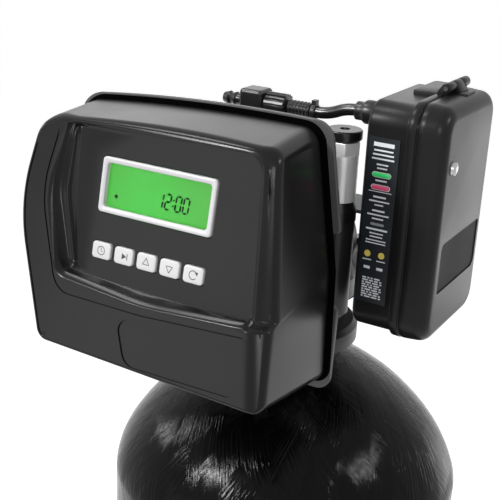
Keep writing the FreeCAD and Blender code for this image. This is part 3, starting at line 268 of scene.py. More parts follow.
def build_moulded_grain():
    tree, given, out = new_group("moulded_grain", {"Grain mm": 0.6, "Drift mm": 60},
                                 ("Height", "Shade", "Roughness"))
    place = object_place(tree)
    fine = noise(tree, place, given.outputs["Grain mm"], 3)
    wide = noise(tree, place, given.outputs["Drift mm"], 2)
    both = maths(tree, "ADD", wide, maths(tree, "MULTIPLY", fine, FINE_SHARE))
    tree.links.new(fine, out.inputs["Height"])
    tree.links.new(ramp(tree, wide, *NOISE_SPAN), out.inputs["Shade"])
    tree.links.new(ramp(tree, both, *GLOSS_SPAN, -1, 1), out.inputs["Roughness"])
    return tree


MOULDED_GRAIN = build_moulded_grain()
print("group: moulded grain")

# %% [markdown]
# A wound tank is glass roving laid wet on a turning liner, in two crossing directions. On the
# straight wall a strand climbs evenly, and on the dome it bends round so that it just misses the
# neck: there the angle round the axis grows with the arc cosine of the neck's radius over the
# strand's own. The group turns each place back along one of these paths, so that a strand becomes
# an upright line, and then reads noise that is far finer across the line than along it. Turning a
# place keeps the pattern whole all round the tank, with no seam. Wide ribbons decide which of the
# two directions lies on top. The ribbons' number, climb and turning radius are named here, because
# the tank's mesh follows the same paths.

# %% Group: helical strands
# The paths turn back at PATH_NECK, in millimetres, and are worked out from INNERMOST, in metres.
RIBBONS, CLIMB, PATH_NECK, INNERMOST = 14, 2.2, 36.0, 0.037
ACROSS_REACH, WANDER_MM, WANDER = 150.0, 45, 0.05
PATCH_MM, PATCH, TOP_EDGE_SPAN, STRAND_SPAN = 38, 0.8, (-0.15, 0.15), (0.45, 0.75)


def build_helical_strands():
    tree, given, out = new_group(
        "helical_strands", {"Strand mm": 2.3, "Length mm": 60, "Ribbons": RIBBONS, "Climb": CLIMB,
                            "Neck radius": PATH_NECK * MM}, ("Height", "Shade"))
    place = object_place(tree)
    split = tree.nodes.new("ShaderNodeSeparateXYZ")
    tree.links.new(place, split.inputs[0])
    x, y, z = split.outputs
    angle = maths(tree, "ARCTAN2", y, x)
    radius = maths(tree, "SQRT", maths(tree, "ADD", maths(tree, "MULTIPLY", x, x),
                                       maths(tree, "MULTIPLY", y, y)))
    bend = maths(tree, "ARCCOSINE", maths(tree, "DIVIDE", given.outputs["Neck radius"],
                                          maths(tree, "MAXIMUM", radius, INNERMOST)))
    path = maths(tree, "SUBTRACT", bend, maths(tree, "MULTIPLY", z, given.outputs["Climb"]))
    wander = maths(tree, "MULTIPLY", noise(tree, place, WANDER_MM, 1), WANDER)
    across = maths(tree, "DIVIDE", ACROSS_REACH, given.outputs["Strand mm"])
    along = maths(tree, "DIVIDE", maths(tree, "SUBTRACT", z, radius),
                  maths(tree, "MULTIPLY", given.outputs["Length mm"], MM))
    heights, ribbons = [], []
    for side in (1, -1):
        turn = maths(tree, "ADD", maths(tree, "MULTIPLY_ADD", path, side, angle), wander)
        turned_back = tree.nodes.new("ShaderNodeCombineXYZ")
        for number, part in enumerate(("COSINE", "SINE")):
            tree.links.new(maths(tree, "MULTIPLY", maths(tree, part, turn), across),
                           turned_back.inputs[number])
        tree.links.new(along, turned_back.inputs[2])
        heights.append(noise(tree, turned_back.outputs[0], 1 / MM, 3, roughness=0.6))
        ribbons.append(maths(tree, "SINE", maths(tree, "MULTIPLY", turn, given.outputs["Ribbons"])))
    patches = ramp(tree, noise(tree, place, PATCH_MM, 1), *NOISE_SPAN, -PATCH, PATCH)
    on_top = maths(tree, "ADD", maths(tree, "MULTIPLY", ribbons[0], ribbons[1]), patches)
    blend = tree.nodes.new("ShaderNodeMix")
    tree.links.new(ramp(tree, on_top, *TOP_EDGE_SPAN), blend.inputs[0])
    tree.links.new(heights[0], blend.inputs[2])
    tree.links.new(heights[1], blend.inputs[3])
    tree.links.new(blend.outputs[0], out.inputs["Height"])
    tree.links.new(ramp(tree, blend.outputs[0], *STRAND_SPAN), out.inputs["Shade"])
    return tree


HELICAL_STRANDS = build_helical_strands()
print("group: helical strands")

# %% [markdown]
# Turned and drawn metal carries fine lines from the tool. Noise that is stretched along one axis
# looks like them; the group takes a stretch for each axis, so that one group serves a tube that was
# turned about its upright axis and a shaft that lies down.

# %% Group: tool lines
LINE_MM = 4


def build_tool_lines():
    tree, given, out = new_group("tool_lines", {"Along X": 1, "Along Y": 1, "Along Z": 12},
                                 ("Height", "Roughness"))
    place = object_place(tree)
    split, join = tree.nodes.new("ShaderNodeSeparateXYZ"), tree.nodes.new("ShaderNodeCombineXYZ")
    tree.links.new(place, split.inputs[0])
    for number, axis in enumerate(("Along X", "Along Y", "Along Z")):
        tree.links.new(maths(tree, "MULTIPLY", split.outputs[number], given.outputs[axis]),
                       join.inputs[number])
    lines = noise(tree, join.outputs[0], LINE_MM, 4, roughness=0.7)
    tree.links.new(lines, out.inputs["Height"])
    tree.links.new(ramp(tree, lines, *NOISE_SPAN, -1, 1), out.inputs["Roughness"])
    return tree


TOOL_LINES = build_tool_lines()
print("group: tool lines")

# %% [markdown]
# Each finish keeps its own Principled shader, and a group only feeds it. This helper makes the
# material, places one group in it with that finish's values, and wires height, shade and roughness.

# %% Helper for finishes
def finish(name, colour, roughness, group, values=None, *, bump, bump_mm=0.05, shade=0.15,
           spread=0.05, **sockets):
    """A material of one base colour with a group's height, shade and roughness laid over it."""
    material = bpy.data.materials.new(name)
    material.use_nodes = True
    tree = material.node_tree
    shader = tree.nodes["Principled BSDF"]
    for socket, value in sockets.items():
        shader.inputs[socket.replace("_", " ")].default_value = value
    effect = tree.nodes.new("ShaderNodeGroup")
    effect.node_tree = group
    for socket, value in (values or {}).items():
        effect.inputs[socket].default_value = value
    lift = tree.nodes.new("ShaderNodeBump")
    lift.inputs["Strength"].default_value = bump
    lift.inputs["Distance"].default_value = bump_mm * MM
    tree.links.new(effect.outputs["Height"], lift.inputs["Height"])
    tree.links.new(lift.outputs["Normal"], shader.inputs["Normal"])
    tone = effect.outputs["Shade"] if "Shade" in effect.outputs else effect.outputs["Height"]
    mix = tree.nodes.new("ShaderNodeMix")
    mix.data_type = "RGBA"
    mix.inputs["A"].default_value = (*[part * (1 - shade) for part in colour], 1)
    mix.inputs["B"].default_value = (*[min(part * (1 + shade), 1) for part in colour], 1)
    tree.links.new(tone, mix.inputs["Factor"])
    tree.links.new(mix.outputs["Result"], shader.inputs["Base Color"])
    if "Roughness" in effect.outputs:
        tree.links.new(maths(tree, "MULTIPLY_ADD", effect.outputs["Roughness"], spread, roughness,
                             clamp=True), shader.inputs["Roughness"])
    else:
        shader.inputs["Roughness"].default_value = roughness
    return material


# %% [markdown]
# The finishes, by the record's material slots. The head and the box are satin black; the tank is
# glossy under its resin; the steel column is turned. Inside pieces get plainer finishes that still
# carry grain or tool lines, because the poses show them.

# %% Finishes
def satin_black(name, tone, roughness, gloss, grain=0.5, bump=0.12):
    return finish(name, (tone, tone, tone * 1.03), roughness, MOULDED_GRAIN, {"Grain mm": grain},
                  bump=bump, shade=0.12, spread=0.03, Specular_IOR_Level=gloss)


def printed(name, colour, roughness=0.5):
    """A plain printed colour, for bars, dots and signs."""
    return finish(name, colour, roughness, MOULDED_GRAIN, bump=0.05)


SLOT_FINISH = {
    "head_black": satin_black("head_black", 0.007, 0.24, gloss=0.16),
    "box_black": satin_black("box_black", 0.01, 0.32, gloss=0.14),
    "valve_black": satin_black("valve_black", 0.016, 0.36, gloss=0.3, grain=0.8, bump=0.2),
    "bracket_black": satin_black("bracket_black", 0.06, 0.42, gloss=0.3),
    "boot_black": satin_black("boot_black", 0.022, 0.55, gloss=0.4, grain=1.2, bump=0.3),
    "nut_black": satin_black("nut_black", 0.01, 0.3, gloss=0.4),
    "tie_black": satin_black("tie_black", 0.012, 0.4, gloss=0.4),
    "hose_rubber": finish("hose_rubber", (0.008, 0.008, 0.008), 0.26, MOULDED_GRAIN,
                          {"Grain mm": 0.9}, bump=0.1, shade=0.2),
    "seal_rubber": finish("seal_rubber", (0.02, 0.02, 0.02), 0.6, MOULDED_GRAIN,
                          {"Grain mm": 0.7}, bump=0.2),
    "wound_tank": finish("wound_tank", (0.002, 0.002, 0.0021), 0.12, HELICAL_STRANDS, bump=1.0,
                         bump_mm=0.42, shade=0.6, Specular_IOR_Level=0.09),
    "pipe_white": finish("pipe_white", (0.78, 0.78, 0.76), 0.4, MOULDED_GRAIN, bump=0.1, shade=0.04),
    "gravel": finish("gravel", (0.42, 0.38, 0.32), 0.8, MOULDED_GRAIN,
                     {"Grain mm": 4, "Drift mm": 6}, bump=1, bump_mm=2, shade=0.5),
    "carbon": finish("carbon", (0.03, 0.03, 0.03), 0.75, MOULDED_GRAIN,
                     {"Grain mm": 1.4, "Drift mm": 4}, bump=1, bump_mm=1, shade=0.5),
    "piston_grey": finish("piston_grey", (0.3, 0.31, 0.33), 0.35, TOOL_LINES,
                          {"Along Y": 12, "Along Z": 1}, bump=0.2, shade=0.1),
    "gear_white": finish("gear_white", (0.8, 0.8, 0.78), 0.42, MOULDED_GRAIN, bump=0.1, shade=0.04),
    "gear_brass": finish("gear_brass", (0.72, 0.52, 0.2), 0.28, TOOL_LINES,
                         {"Along Y": 10, "Along Z": 1}, bump=0.25, shade=0.12, Metallic=1.0),
    "steel": finish("steel", (0.95, 0.95, 0.95), 0.34, TOOL_LINES, bump=0.05, shade=0.05,
                    spread=0.06, Metallic=0.3),
    "motor_steel": finish("motor_steel", (0.5, 0.5, 0.49), 0.34, TOOL_LINES,
                          {"Along Y": 8, "Along Z": 1}, bump=0.2, shade=0.1, Metallic=1.0),
    "screw_chrome": finish("screw_chrome", (0.4, 0.4, 0.41), 0.3, TOOL_LINES, bump=0.1,
                           shade=0.05, Metallic=1.0),
    "cell_aluminium": finish("cell_aluminium", (0.66, 0.66, 0.67), 0.3, TOOL_LINES, bump=0.2,
                             shade=0.08, Metallic=1.0),
    "board_green": finish("board_green", (0.02, 0.13, 0.05), 0.35, MOULDED_GRAIN,
                          {"Grain mm": 1.5, "Drift mm": 8}, bump=0.3, shade=0.35),
    "bezel_white": finish("bezel_white", (0.52, 0.51, 0.53), 0.32, MOULDED_GRAIN, bump=0.06,
                          shade=0.03),
    "key_white": finish("key_white", (0.54, 0.54, 0.54), 0.38, MOULDED_GRAIN, bump=0.08, shade=0.03),
    "label_blue": finish("label_blue", (0.009, 0.0115, 0.0145), 0.34, MOULDED_GRAIN,
                         {"Grain mm": 0.3}, bump=0.05, shade=0.15),
    "lamp_green": finish("lamp_green", (0.03, 0.5, 0.12), 0.25, MOULDED_GRAIN, bump=0.05, shade=0.1,
                         Emission_Color=(0.05, 0.8, 0.2, 1), Emission_Strength=0.12),
    "lamp_red": finish("lamp_red", (0.45, 0.05, 0.12), 0.25, MOULDED_GRAIN, bump=0.05, shade=0.1,
                       Emission_Color=(0.6, 0.08, 0.18, 1), Emission_Strength=0.2),
}
PLACE_MATT = finish("place_matt", (0.012, 0.012, 0.013), 0.62, MOULDED_GRAIN, {"Grain mm": 0.3},
                    bump=0.2, Specular_IOR_Level=0.12)
# A near-black matt finish with almost no reflection: painted shadow for the strip round the cover's
# rim.
SHADOW_BLACK = finish("shadow_black", (0.001, 0.001, 0.001), 0.9, MOULDED_GRAIN, bump=0.2,
                    Specular_IOR_Level=0.02)
MARK_DARK = printed("mark_dark", (0.03, 0.03, 0.035), 0.6)
MARK_PALE = printed("mark_pale", (0.62, 0.64, 0.66))
MARK_AMBER = printed("mark_amber", (0.62, 0.5, 0.1))
MARK_GREY = printed("mark_grey", (0.22, 0.23, 0.24))
DIGIT_DARK = finish("digit_dark", (0.003, 0.012, 0.004), 0.6, MOULDED_GRAIN, bump=0.02,
                    Specular_IOR_Level=0.1)
print(f"{len(bpy.data.materials)} materials")

# %% [markdown]
# The display is lit from behind, so its colour is an emission: a bright green that is a little
# stronger left of the middle and falls off to the corners, where the diffuser is further from its
# lamp. Its window is clear plastic.

# %% Finishes: display and window
GLOW_MIDDLE, GLOW_FROM, GLOW_TO = at(-28, -186, 155), 5 * MM, 55 * MM
GLOW_BRIGHT, GLOW_DIM = (0.012, 0.45, 0.01, 1), (0.035, 0.3, 0.01, 1)


def lit_green():
    material = finish("display_green", (0.02, 0.1, 0.02), 0.5, MOULDED_GRAIN, bump=0.02)
    tree = material.node_tree
    shader = tree.nodes["Principled BSDF"]
    away = tree.nodes.new("ShaderNodeVectorMath")
    away.operation = "DISTANCE"
    tree.links.new(object_place(tree), away.inputs[0])
    away.inputs[1].default_value = GLOW_MIDDLE
    blend = tree.nodes.new("ShaderNodeMix")
    blend.data_type = "RGBA"
    blend.inputs["A"].default_value, blend.inputs["B"].default_value = GLOW_BRIGHT, GLOW_DIM
    tree.links.new(ramp(tree, away.outputs["Value"], GLOW_FROM, GLOW_TO), blend.inputs["Factor"])
    tree.links.new(blend.outputs["Result"], shader.inputs["Emission Color"])
    shader.inputs["Emission Strength"].default_value = 1.0
    return material


SLOT_FINISH["display_green"] = lit_green()
SLOT_FINISH["lens_clear"] = finish("lens_clear", (0.98, 0.98, 0.98), 0.0, MOULDED_GRAIN, bump=0.0,
                                   shade=0.01, spread=0.0, Transmission_Weight=1.0, IOR=1.05)
print(f"{len(SLOT_FINISH)} finishes, {len(bpy.data.node_groups)} node groups")

# %% [markdown]
# Every carried-over node takes the finish of its slot. CAD edges are razor sharp, and a real edge
# catches a line of light, so most nodes also get a small bevel: their triangles are welded first,
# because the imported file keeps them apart, and the bevel only touches edges that really turn.

# %% Dress the carried-over nodes
EDGE_MM = {"tank_boot": 2, "valve_body": 0.7, "circuit_board": 0.2, "check_cap": 0.6,
           "check_collar": 0.4, "drain_elbow": 0.6, "elbow_nut": 0.4, "hose_fitting": 0.5,
           "union_nuts": 0.6, "drive_cap": 0.5, "box_bracket": 0.5, "hose_sleeve": 0.4,
           "cable_tie": 0.3, "transformer": 0.8, "power_inlet": 0.5}
WELD_WITHIN, EDGE_TURN = 0.00001, math.radians(32)


def soften(piece, width_mm):
    weld = piece.modifiers.new("weld", "WELD")
    weld.merge_threshold = WELD_WITHIN
    bevel = piece.modifiers.new("soft_edges", "BEVEL")
    bevel.width, bevel.segments = width_mm * MM, 2
    bevel.limit_method, bevel.angle_limit = "ANGLE", EDGE_TURN


for name, piece in nodes.items():
    for material_slot in piece.material_slots:
        material_slot.material = SLOT_FINISH[slot_of[name]]
    if name in EDGE_MM:
        soften(piece, EDGE_MM[name])
print(f"dressed {len(nodes)} nodes, softened {len(EDGE_MM)}")

# %% [markdown]
# The shells are skins over rings: closed loops with the same number of points, joined one to the
# next. An outline is a list of corners with a radius each, and the helper turns it into points,
# with a true arc at each corner. Because every ring of one shell has as many corners, its points
# match those of the next ring by number.

# %% Helpers for outlines
CORNER_STEPS, SHORTEST_TRIM = 10, 2.5


def outline(corners, side_steps):
    """Points round a polygon with rounded corners: (across, up, radius) for each corner."""
    count = len(corners)
    arcs = []
    for number, (across, up, radius) in enumerate(corners):
        here = Vector((across, up))
        before = (Vector(corners[number - 1][:2]) - here).normalized()
        after = (Vector(corners[(number + 1) % count][:2]) - here).normalized()
        inside = before.angle(after)
        trim = max(radius / math.tan(inside / 2), SHORTEST_TRIM)
        weight = math.sin(inside / 2)
        arc = []
        for step in range(CORNER_STEPS + 1):
            t = step / CORNER_STEPS
            shares = ((1 - t) ** 2, 2 * t * (1 - t) * weight, t ** 2)
            ends = (here + before * trim, here, here + after * trim)
            arc.append(sum((share * end for share, end in zip(shares, ends)), Vector((0, 0)))
                       / sum(shares))
        arcs.append(arc)
    points = []
    for number, arc in enumerate(arcs):
        points += arc
        start, stop = arc[-1], arcs[(number + 1) % count][0]
        steps = side_steps[number]
        points += [start.lerp(stop, step / steps) for step in range(1, steps)]
    return points


def shrunk(points, distance):
    """The same ring of points, each moved inward square to the ring."""
    count = len(points)
    moved = []
    for number, point in enumerate(points):
        along = points[(number + 1) % count] - points[number - 1]
        moved.append(point + Vector((-along.y, along.x)).normalized() * distance)
    return moved


def blended(ring, other, share):
    return [a.lerp(b, share) for a, b in zip(ring, other)]


# %% [markdown]
# A skin joins its rings one to the next with four-sided faces and closes both ends. Every new mesh
# is welded, turned the right way out, shaded, given the finish of its slot, and told its body. An
# opening is cut with a second skin: a Boolean takes its solid away, and the result is kept as a plain
# mesh.
# with a second skin: a Boolean takes its solid away, and the result is kept as a plain mesh.

# %% Helpers for skins and cuts
SAME_POINT, PLAIN_SMOOTH, MOULDED_SMOOTH = 0.000001, 40, 50


def shade(mesh, degrees):
    """Smooth shading with sharp edges where faces meet at more than an angle."""
    mesh.shade_smooth()
    mesh.set_sharp_from_angle(angle=math.radians(degrees))


def mesh_piece(name, points, faces, body, slot, material, smooth=PLAIN_SMOOTH):
    """A mesh in its own object, shaded, riding on its body, with the finish given or that of its
    slot.
    """
    mesh = bpy.data.meshes.new(name)
    mesh.from_pydata([tuple(point) for point in points], [], faces)
    work = bmesh.new()
    work.from_mesh(mesh)
    bmesh.ops.remove_doubles(work, verts=work.verts, dist=SAME_POINT)
    bmesh.ops.recalc_face_normals(work, faces=work.faces)
    work.to_mesh(mesh)
    work.free()
    mesh.materials.append(material or SLOT_FINISH[slot])
    piece = bpy.data.objects.new(name, mesh)
    bpy.context.scene.collection.objects.link(piece)
    shade(mesh, smooth)
    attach(piece, body)
    return piece


def skin(name, rings, body, slot, material=None, cap=True, smooth=PLAIN_SMOOTH):
    """A mesh over rings of scene points, closed by a face at each end, riding on a body."""
    count = len(rings[0])
    points = [point for ring in rings for point in ring]
    faces = []
    for row in range(len(rings) - 1):
        for number in range(count):
            a, b = row * count + number, row * count + (number + 1) % count
            faces.append((a, b, b + count, a + count))
    if cap:
        faces.append(tuple(range(count)))
        faces.append(tuple(range(len(points) - count, len(points))))
    return mesh_piece(name, points, faces, body, slot, material, smooth)


def carve(piece, rings):
    """Cut the solid inside some rings out of a piece, and leave a plain mesh."""
    cutter = skin(piece.name + "_cutter", rings, "base", "head_black")
    cut = piece.modifiers.new("cut", "BOOLEAN")
    cut.operation, cut.solver, cut.object = "DIFFERENCE", "EXACT", cutter
    graph = bpy.context.evaluated_depsgraph_get()
    carved = bpy.data.meshes.new_from_object(piece.evaluated_get(graph))
    piece.modifiers.remove(cut)
    old, name = piece.data, piece.data.name
    piece.data = carved
    bpy.data.meshes.remove(old)
    carved.name = name
    bpy.data.objects.remove(cutter)


# %% [markdown]
# The head cover is one deep moulding. Its apron, the plate that runs down the left side and along
# the foot, leans back more than the display panel does and stands in front of it, so a bright ledge
# forms where the panel's foot meets the apron, and a soft valley where it meets the left wing. On
# the top and right sides the panel folds back softly into the shoulder. The rings run from the
# back rim over the shoulder and the apron, up the lip, into the valley and out onto the flat panel.

# %% Head cover: planes and outlines
PANEL_REACH, PANEL_LEAN = 213.0, 0.1986
APRON_PROUD, APRON_FALL = 16.4, 0.0834
PANEL_TILT = math.atan(PANEL_LEAN)
SIDE_STEPS = (8, 10, 24, 24, 8, 14, 40)

REAR = [(-143, 200, 20), (-147, 130, 90), (-108, 17, 30), (-14, 17.5, 20), (81, 18, 10),
        (79.5, 105, 30), (63, 209, 14)]
FRONT = [(-127, 203, 22), (-137, 137.6, 110), (-99, 46.2, 12), (-5, 44.1, 60), (90, 41.9, 6),
         (83.2, 94.5, 20), (68.5, 207, 12)]
SEAM = [(-107, 200, 6), (-115.5, 150, 70), (-89, 83.7, 18), (-14, 83.6, 200), (78.3, 89.3, 6),
        (77.3, 98, 20), (63.5, 203.6, 11)]
LIP_START = [(-105, 199.5, 5), (-112.5, 151, 60), (-92, 93.2, 14), (-15, 88.6, 200),
             (70.6, 93.8, 4), (69.4, 101, 20), (60.1, 203.4, 13)]
LIP_CREST = [(-101.5, 200.5, 4), (-108.5, 152, 60), (-91, 97.6, 12), (-15, 91.6, 200),
             (68.2, 97.3, 3), (67.1, 104, 20), (58.3, 202, 12)]
WALL_FOOT = [(-98.5, 199.5, 3), (-103, 151, 50), (-87.5, 98, 8), (-15, 95.2, 200),
             (65, 94.8, 3), (65.6, 104, 20), (57, 200.5, 11)]
VALLEY = [(-96.5, 199.3, 3), (-99.5, 150, 40), (-84.5, 98.8, 6), (-15, 95.5, 200), (64.2, 95, 3),
          (64.8, 104, 20), (56.4, 199.9, 10.5)]
RISE = [(-92.5, 199, 3), (-91.5, 150, 40), (-81, 99.2, 5), (-15, 95.8, 200), (63.5, 95.3, 3),
        (64, 104, 20), (55.9, 199.4, 10)]
FLAT = [(-89, 198.6, 3), (-84, 150, 40), (-78.5, 99.8, 5), (-15, 96.2, 200), (62.5, 95.7, 3),
        (63, 104, 20), (55.4, 198.8, 10)]


def panel_y(z):
    return PANEL_LEAN * z - PANEL_REACH


def apron_height(z):
    return max(APRON_PROUD - APRON_FALL * z, 0.0)


def eased(value):
    """A soft step: 0 up to 0, 1 from 1 on, and a smooth curve in between."""
    value = min(max(value, 0.0), 1.0)
    return value * value * (3 - 2 * value)


print(f"the panel leans back {math.degrees(PANEL_TILT):.1f} degrees")

# %% [markdown]
# The apron's height fades out at its upper right, beside the panel. On the right side and along the
# top the surface leaves its plane at a line and falls back ever faster, which is the soft shoulder.
# The top side of each ring is also arched up by a few millimetres.

# %% Head cover: heights and arches
APRON_END_X, APRON_FADE_X, APRON_END_Z, APRON_FADE_Z = 55, 8, 93, 4
FOLD_DEPTH, FOLD_BESIDE, FOLD_ABOVE, FOLD_CORNER = 3.4, 11.0, 6.5, 12
# The line on the right, above and below its bend: its place at a height, and its lean.
FOLD_BEND, FOLD_UPPER, FOLD_LOWER = 95, (59.1, 193, 0.089), (68, 95, 0.21)
FOLD_TOP, FOLD_TOP_DROP, FOLD_DROP_X, FOLD_DROP_WIDE = 202, 9, -88, 40
CROWN_FROM, CROWN_FADE = 185, 12
# Rise, middle and half width of each arch.
REAR_CROWN, FRONT_CROWN, PLATE_CROWN = (3.2, -42, 95), (2.6, -20, 75), (5.2, -25, 115)
# What the last point before the left side already takes of its depth.
LAST_SHARE = 0.6


def outer_height(x, z):
    """How far the apron stands in front of the panel's plane, or the fold behind it."""
    right, above = eased((x - APRON_END_X) / APRON_FADE_X), eased((z - APRON_END_Z) / APRON_FADE_Z)
    level = apron_height(z) * (1 - right * above)
    line_x, line_z, lean = FOLD_UPPER if z > FOLD_BEND else FOLD_LOWER
    edge_x = line_x + (line_z - z) * lean
    edge_z = FOLD_TOP - eased((FOLD_DROP_X - x) / FOLD_DROP_WIDE) * FOLD_TOP_DROP
    past_x, past_z = max(x - edge_x + FOLD_CORNER, 0), max(z - edge_z + FOLD_CORNER, 0)
    reach = math.hypot(past_x, past_z)
    if reach <= FOLD_CORNER:
        return level
    beside = (past_x / reach) ** 2
    width = FOLD_BESIDE * beside + FOLD_ABOVE * (1 - beside)
    return level - FOLD_DEPTH * ((reach - FOLD_CORNER) / width) ** 2


def crowned(points, rise, middle, reach):
    """The same ring with its top side arched up by a few millimetres."""
    return [Vector((p.x, p.y + eased((p.y - CROWN_FROM) / CROWN_FADE) * rise
                    * max(1 - ((p.x - middle) / reach) ** 2, 0))) for p in points]


def rear_outline():
    return crowned(outline(REAR, SIDE_STEPS), *REAR_CROWN)


def ring_shares():
    """For each point of a ring: its share of the left side, and of the apron's side."""
    left, apron = [], []
    arc = CORNER_STEPS + 1
    spans = [arc + steps - 1 for steps in SIDE_STEPS]
    for corner, span in enumerate(spans):
        for number in range(span):
            on_arc = min(number / CORNER_STEPS, 1)
            before_end = span - number
            if corner < 2:
                left.append(1.0)
            elif corner == 2:
                left.append(1 - eased(on_arc))
            else:
                left.append(LAST_SHARE if corner == 6 and before_end == 1 else 0.0)
            apron.append(1.0 if corner < 4 else 1 - eased(on_arc) if corner == 4 else 0.0)
    return left, apron


LEFT_SHARE, APRON_SHARE = ring_shares()
print(f"{len(LEFT_SHARE)} points in each ring of the cover")

# %% [markdown]
# Each ring of the front is an outline with a height in front of the panel's plane for every point.
# Between two outlines the heights follow a curve of their own, which makes the lip's round edge,
# the upright wall and the fillet at its foot. Two hair-thin grooves, the seam round the tray and
# the one along the left shoulder, are four close rings each, the middle two sunk by under a
# millimetre.

# %% Head cover: rings of the front
SHOULDER_DEPTH, SHOULDER_INSET, SHOULDER_STEPS = 4.5, 3.0, 6
GROOVE, SHOULDER_GROOVE, SEAM_GROOVE = 0.9, (3.3, 3.6, 4.2, 4.5), (-0.6, -0.4, 0.4, 0.6)
# Where each groove ends, and over how many millimetres it fades: on the right and at the top.
SHOULDER_END, SEAM_END = ((-92, 4), (183, 3)), ((68, 2), (193, 2))
APRON_STEPS, LIP_STEPS = 12, 4


def front_ring(points, heights):
    return [at(p.x, panel_y(p.y) - h, p.y) for p, h in zip(points, heights)]


def outer_heights(points):
    return [outer_height(p.x, p.y) for p in points]


def extent(p, end):
    """1 where a groove runs, falling to 0 at its ends on the right and at the top."""
    (right, fade_x), (top, fade_z) = end
    return eased((right - p.x) / fade_x) * eased((top - p.y) / fade_z)


def grooved(base, insets, end):
    """Four close rings, of which the middle two are the bottom of a groove."""
    rings = []
    for number, inset in enumerate(insets):
        points = shrunk(base, inset)
        heights = outer_heights(points)
        if number in (1, 2):
            heights = [h - GROOVE * extent(p, end) for p, h in zip(points, heights)]
        rings.append(front_ring(points, heights))
    return rings, points


def rings_between(start, stop, steps):
    between = [blended(start, stop, step / steps) for step in range(1, steps)]
    return [front_ring(points, outer_heights(points)) for points in between]


def front_rings():
    """The rings from the shoulder to the lip, and the lip's own points."""
    front = crowned(outline(FRONT, SIDE_STEPS), *FRONT_CROWN)
    rings = []
    for step in range(SHOULDER_STEPS + 1):
        angle = math.pi / 2 * step / SHOULDER_STEPS
        points = shrunk(front, SHOULDER_INSET * (1 - math.cos(angle)))
        back = SHOULDER_DEPTH * (1 - math.sin(angle))
        rings.append(front_ring(points, [h - back for h in outer_heights(points)]))
    shoulder, apron_start = grooved(front, SHOULDER_GROOVE, SHOULDER_END)
    seam = outline(SEAM, SIDE_STEPS)
    tray_seam, lip_start = grooved(seam, SEAM_GROOVE, SEAM_END)
    lip = outline(LIP_START, SIDE_STEPS)
    rings += shoulder + rings_between(apron_start, shrunk(seam, SEAM_GROOVE[0]), APRON_STEPS)
    rings += tray_seam + rings_between(lip_start, lip, LIP_STEPS)
    rings.append(front_ring(lip, outer_heights(lip)))
    return rings, lip


front_part, lip = front_rings()
print(f"front of the cover: {len(front_part)} rings of {len(lip)} points")

# %% [markdown]
# Inside the lip the rings climb to its crest, drop down the wall and run through the valley onto
# the flat panel. A notch lets the valley run out through the top side.

# %% Head cover: rings of the tray
CREST_SHARE, CREST_STEPS, CREST_CURVE = 0.62, 8, 1.6
WALL_DEPTH, WALL_CURVE, VALLEY_DEPTH, RISE_DEPTH = 2.6, 1.5, 4.2, 1.5
NOTCH_X, NOTCH_HALF, NOTCH_FROM, NOTCH_DEPTH = -96, 5, 194, 3
# Outline, depth on the left, number of rings, curve of the heights, and whether it has the notch.
TRAY_STAGES = [(WALL_FOOT, WALL_DEPTH, 10, lambda t: 1 - (1 - t) ** WALL_CURVE, True),
               (VALLEY, VALLEY_DEPTH, 3, eased, True), (RISE, RISE_DEPTH, 4, eased, True),
               (FLAT, 0, 4, eased, False)]


def notch(p):
    return NOTCH_DEPTH * eased(1 - abs(p.x - NOTCH_X) / NOTCH_HALF) * (p.y > NOTCH_FROM)


def tray_rings(points, heights):
    crest = outline(LIP_CREST, SIDE_STEPS)
    crest_heights = [apron_height(p.y) * share * CREST_SHARE - notch(p)
                     for p, share in zip(crest, APRON_SHARE)]
    stages = [(crest, crest_heights, CREST_STEPS, lambda t: t ** CREST_CURVE)]
    for corners, depth, steps, curve, notched in TRAY_STAGES:
        ring = outline(corners, SIDE_STEPS)
        stages.append((ring, [-depth * share - (notch(p) if notched else 0)
                              for p, share in zip(ring, LEFT_SHARE)], steps, curve))
    rings = []
    for ring, ring_heights, steps, curve in stages:
        for step in range(1, steps + 1):
            share = step / steps
            rings.append(front_ring(blended(points, ring, share),
                                    [a + (b - a) * curve(share)
                                     for a, b in zip(heights, ring_heights)]))
        points, heights = ring, ring_heights
    return rings


tray_part = tray_rings(lip, outer_heights(lip))
print(f"tray: {len(tray_part)} rings")

# %% [markdown]
# The whole cover is one skin: its inside from behind the panel to the rear rim, the rim's small
# step, the side wall, and then the front. It rides on its own body, because it pulls off.

# %% Head cover: the skin
RIM_Y, RIM_GAP_Y, RIM_GAP, RIM_EDGE = -100.9, -105.0, 4.0, 0.5
POCKET_INSET, POCKET_DEPTHS, ROOM_INSET, ROOM_DEPTH, INSIDE_INSET = 1.5, (2.6, 9), 9, 12, 7
WALL_SHARES = (0.03, 0.25, 0.5, 0.75, 0.97)


def upright_ring(points, y):
    return [at(p.x, y, p.y) for p in points]


def inner_rings(rear):
    """The inside of the cover, from behind the panel to the rear rim."""
    flat, front = (outline(corners, SIDE_STEPS) for corners in (FLAT, FRONT))
    levels = [(shrunk(flat, POCKET_INSET), depth) for depth in POCKET_DEPTHS]
    levels.append((shrunk(front, ROOM_INSET), ROOM_DEPTH))
    return ([front_ring(points, [-depth] * len(points)) for points, depth in levels]
            + [upright_ring(shrunk(rear, INSIDE_INSET), RIM_Y)])


def build_head_cover():
    rear = rear_outline()
    back = [upright_ring(shrunk(rear, RIM_GAP), RIM_Y),
            upright_ring(shrunk(rear, RIM_GAP), RIM_GAP_Y),
            upright_ring(shrunk(rear, RIM_EDGE), RIM_GAP_Y),
            upright_ring(rear, RIM_GAP_Y - RIM_EDGE)]
    wall = [blended(back[-1], front_part[0], share) for share in WALL_SHARES]
    shell = inner_rings(rear) + back + wall + front_part + tray_part
    cover = skin("head_cover", shell, "cover", "head_black", smooth=MOULDED_SMOOTH)
    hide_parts("front_cover")
    return cover


head_cover = build_head_cover()
print(f"head cover: {len(head_cover.data.vertices)} points")
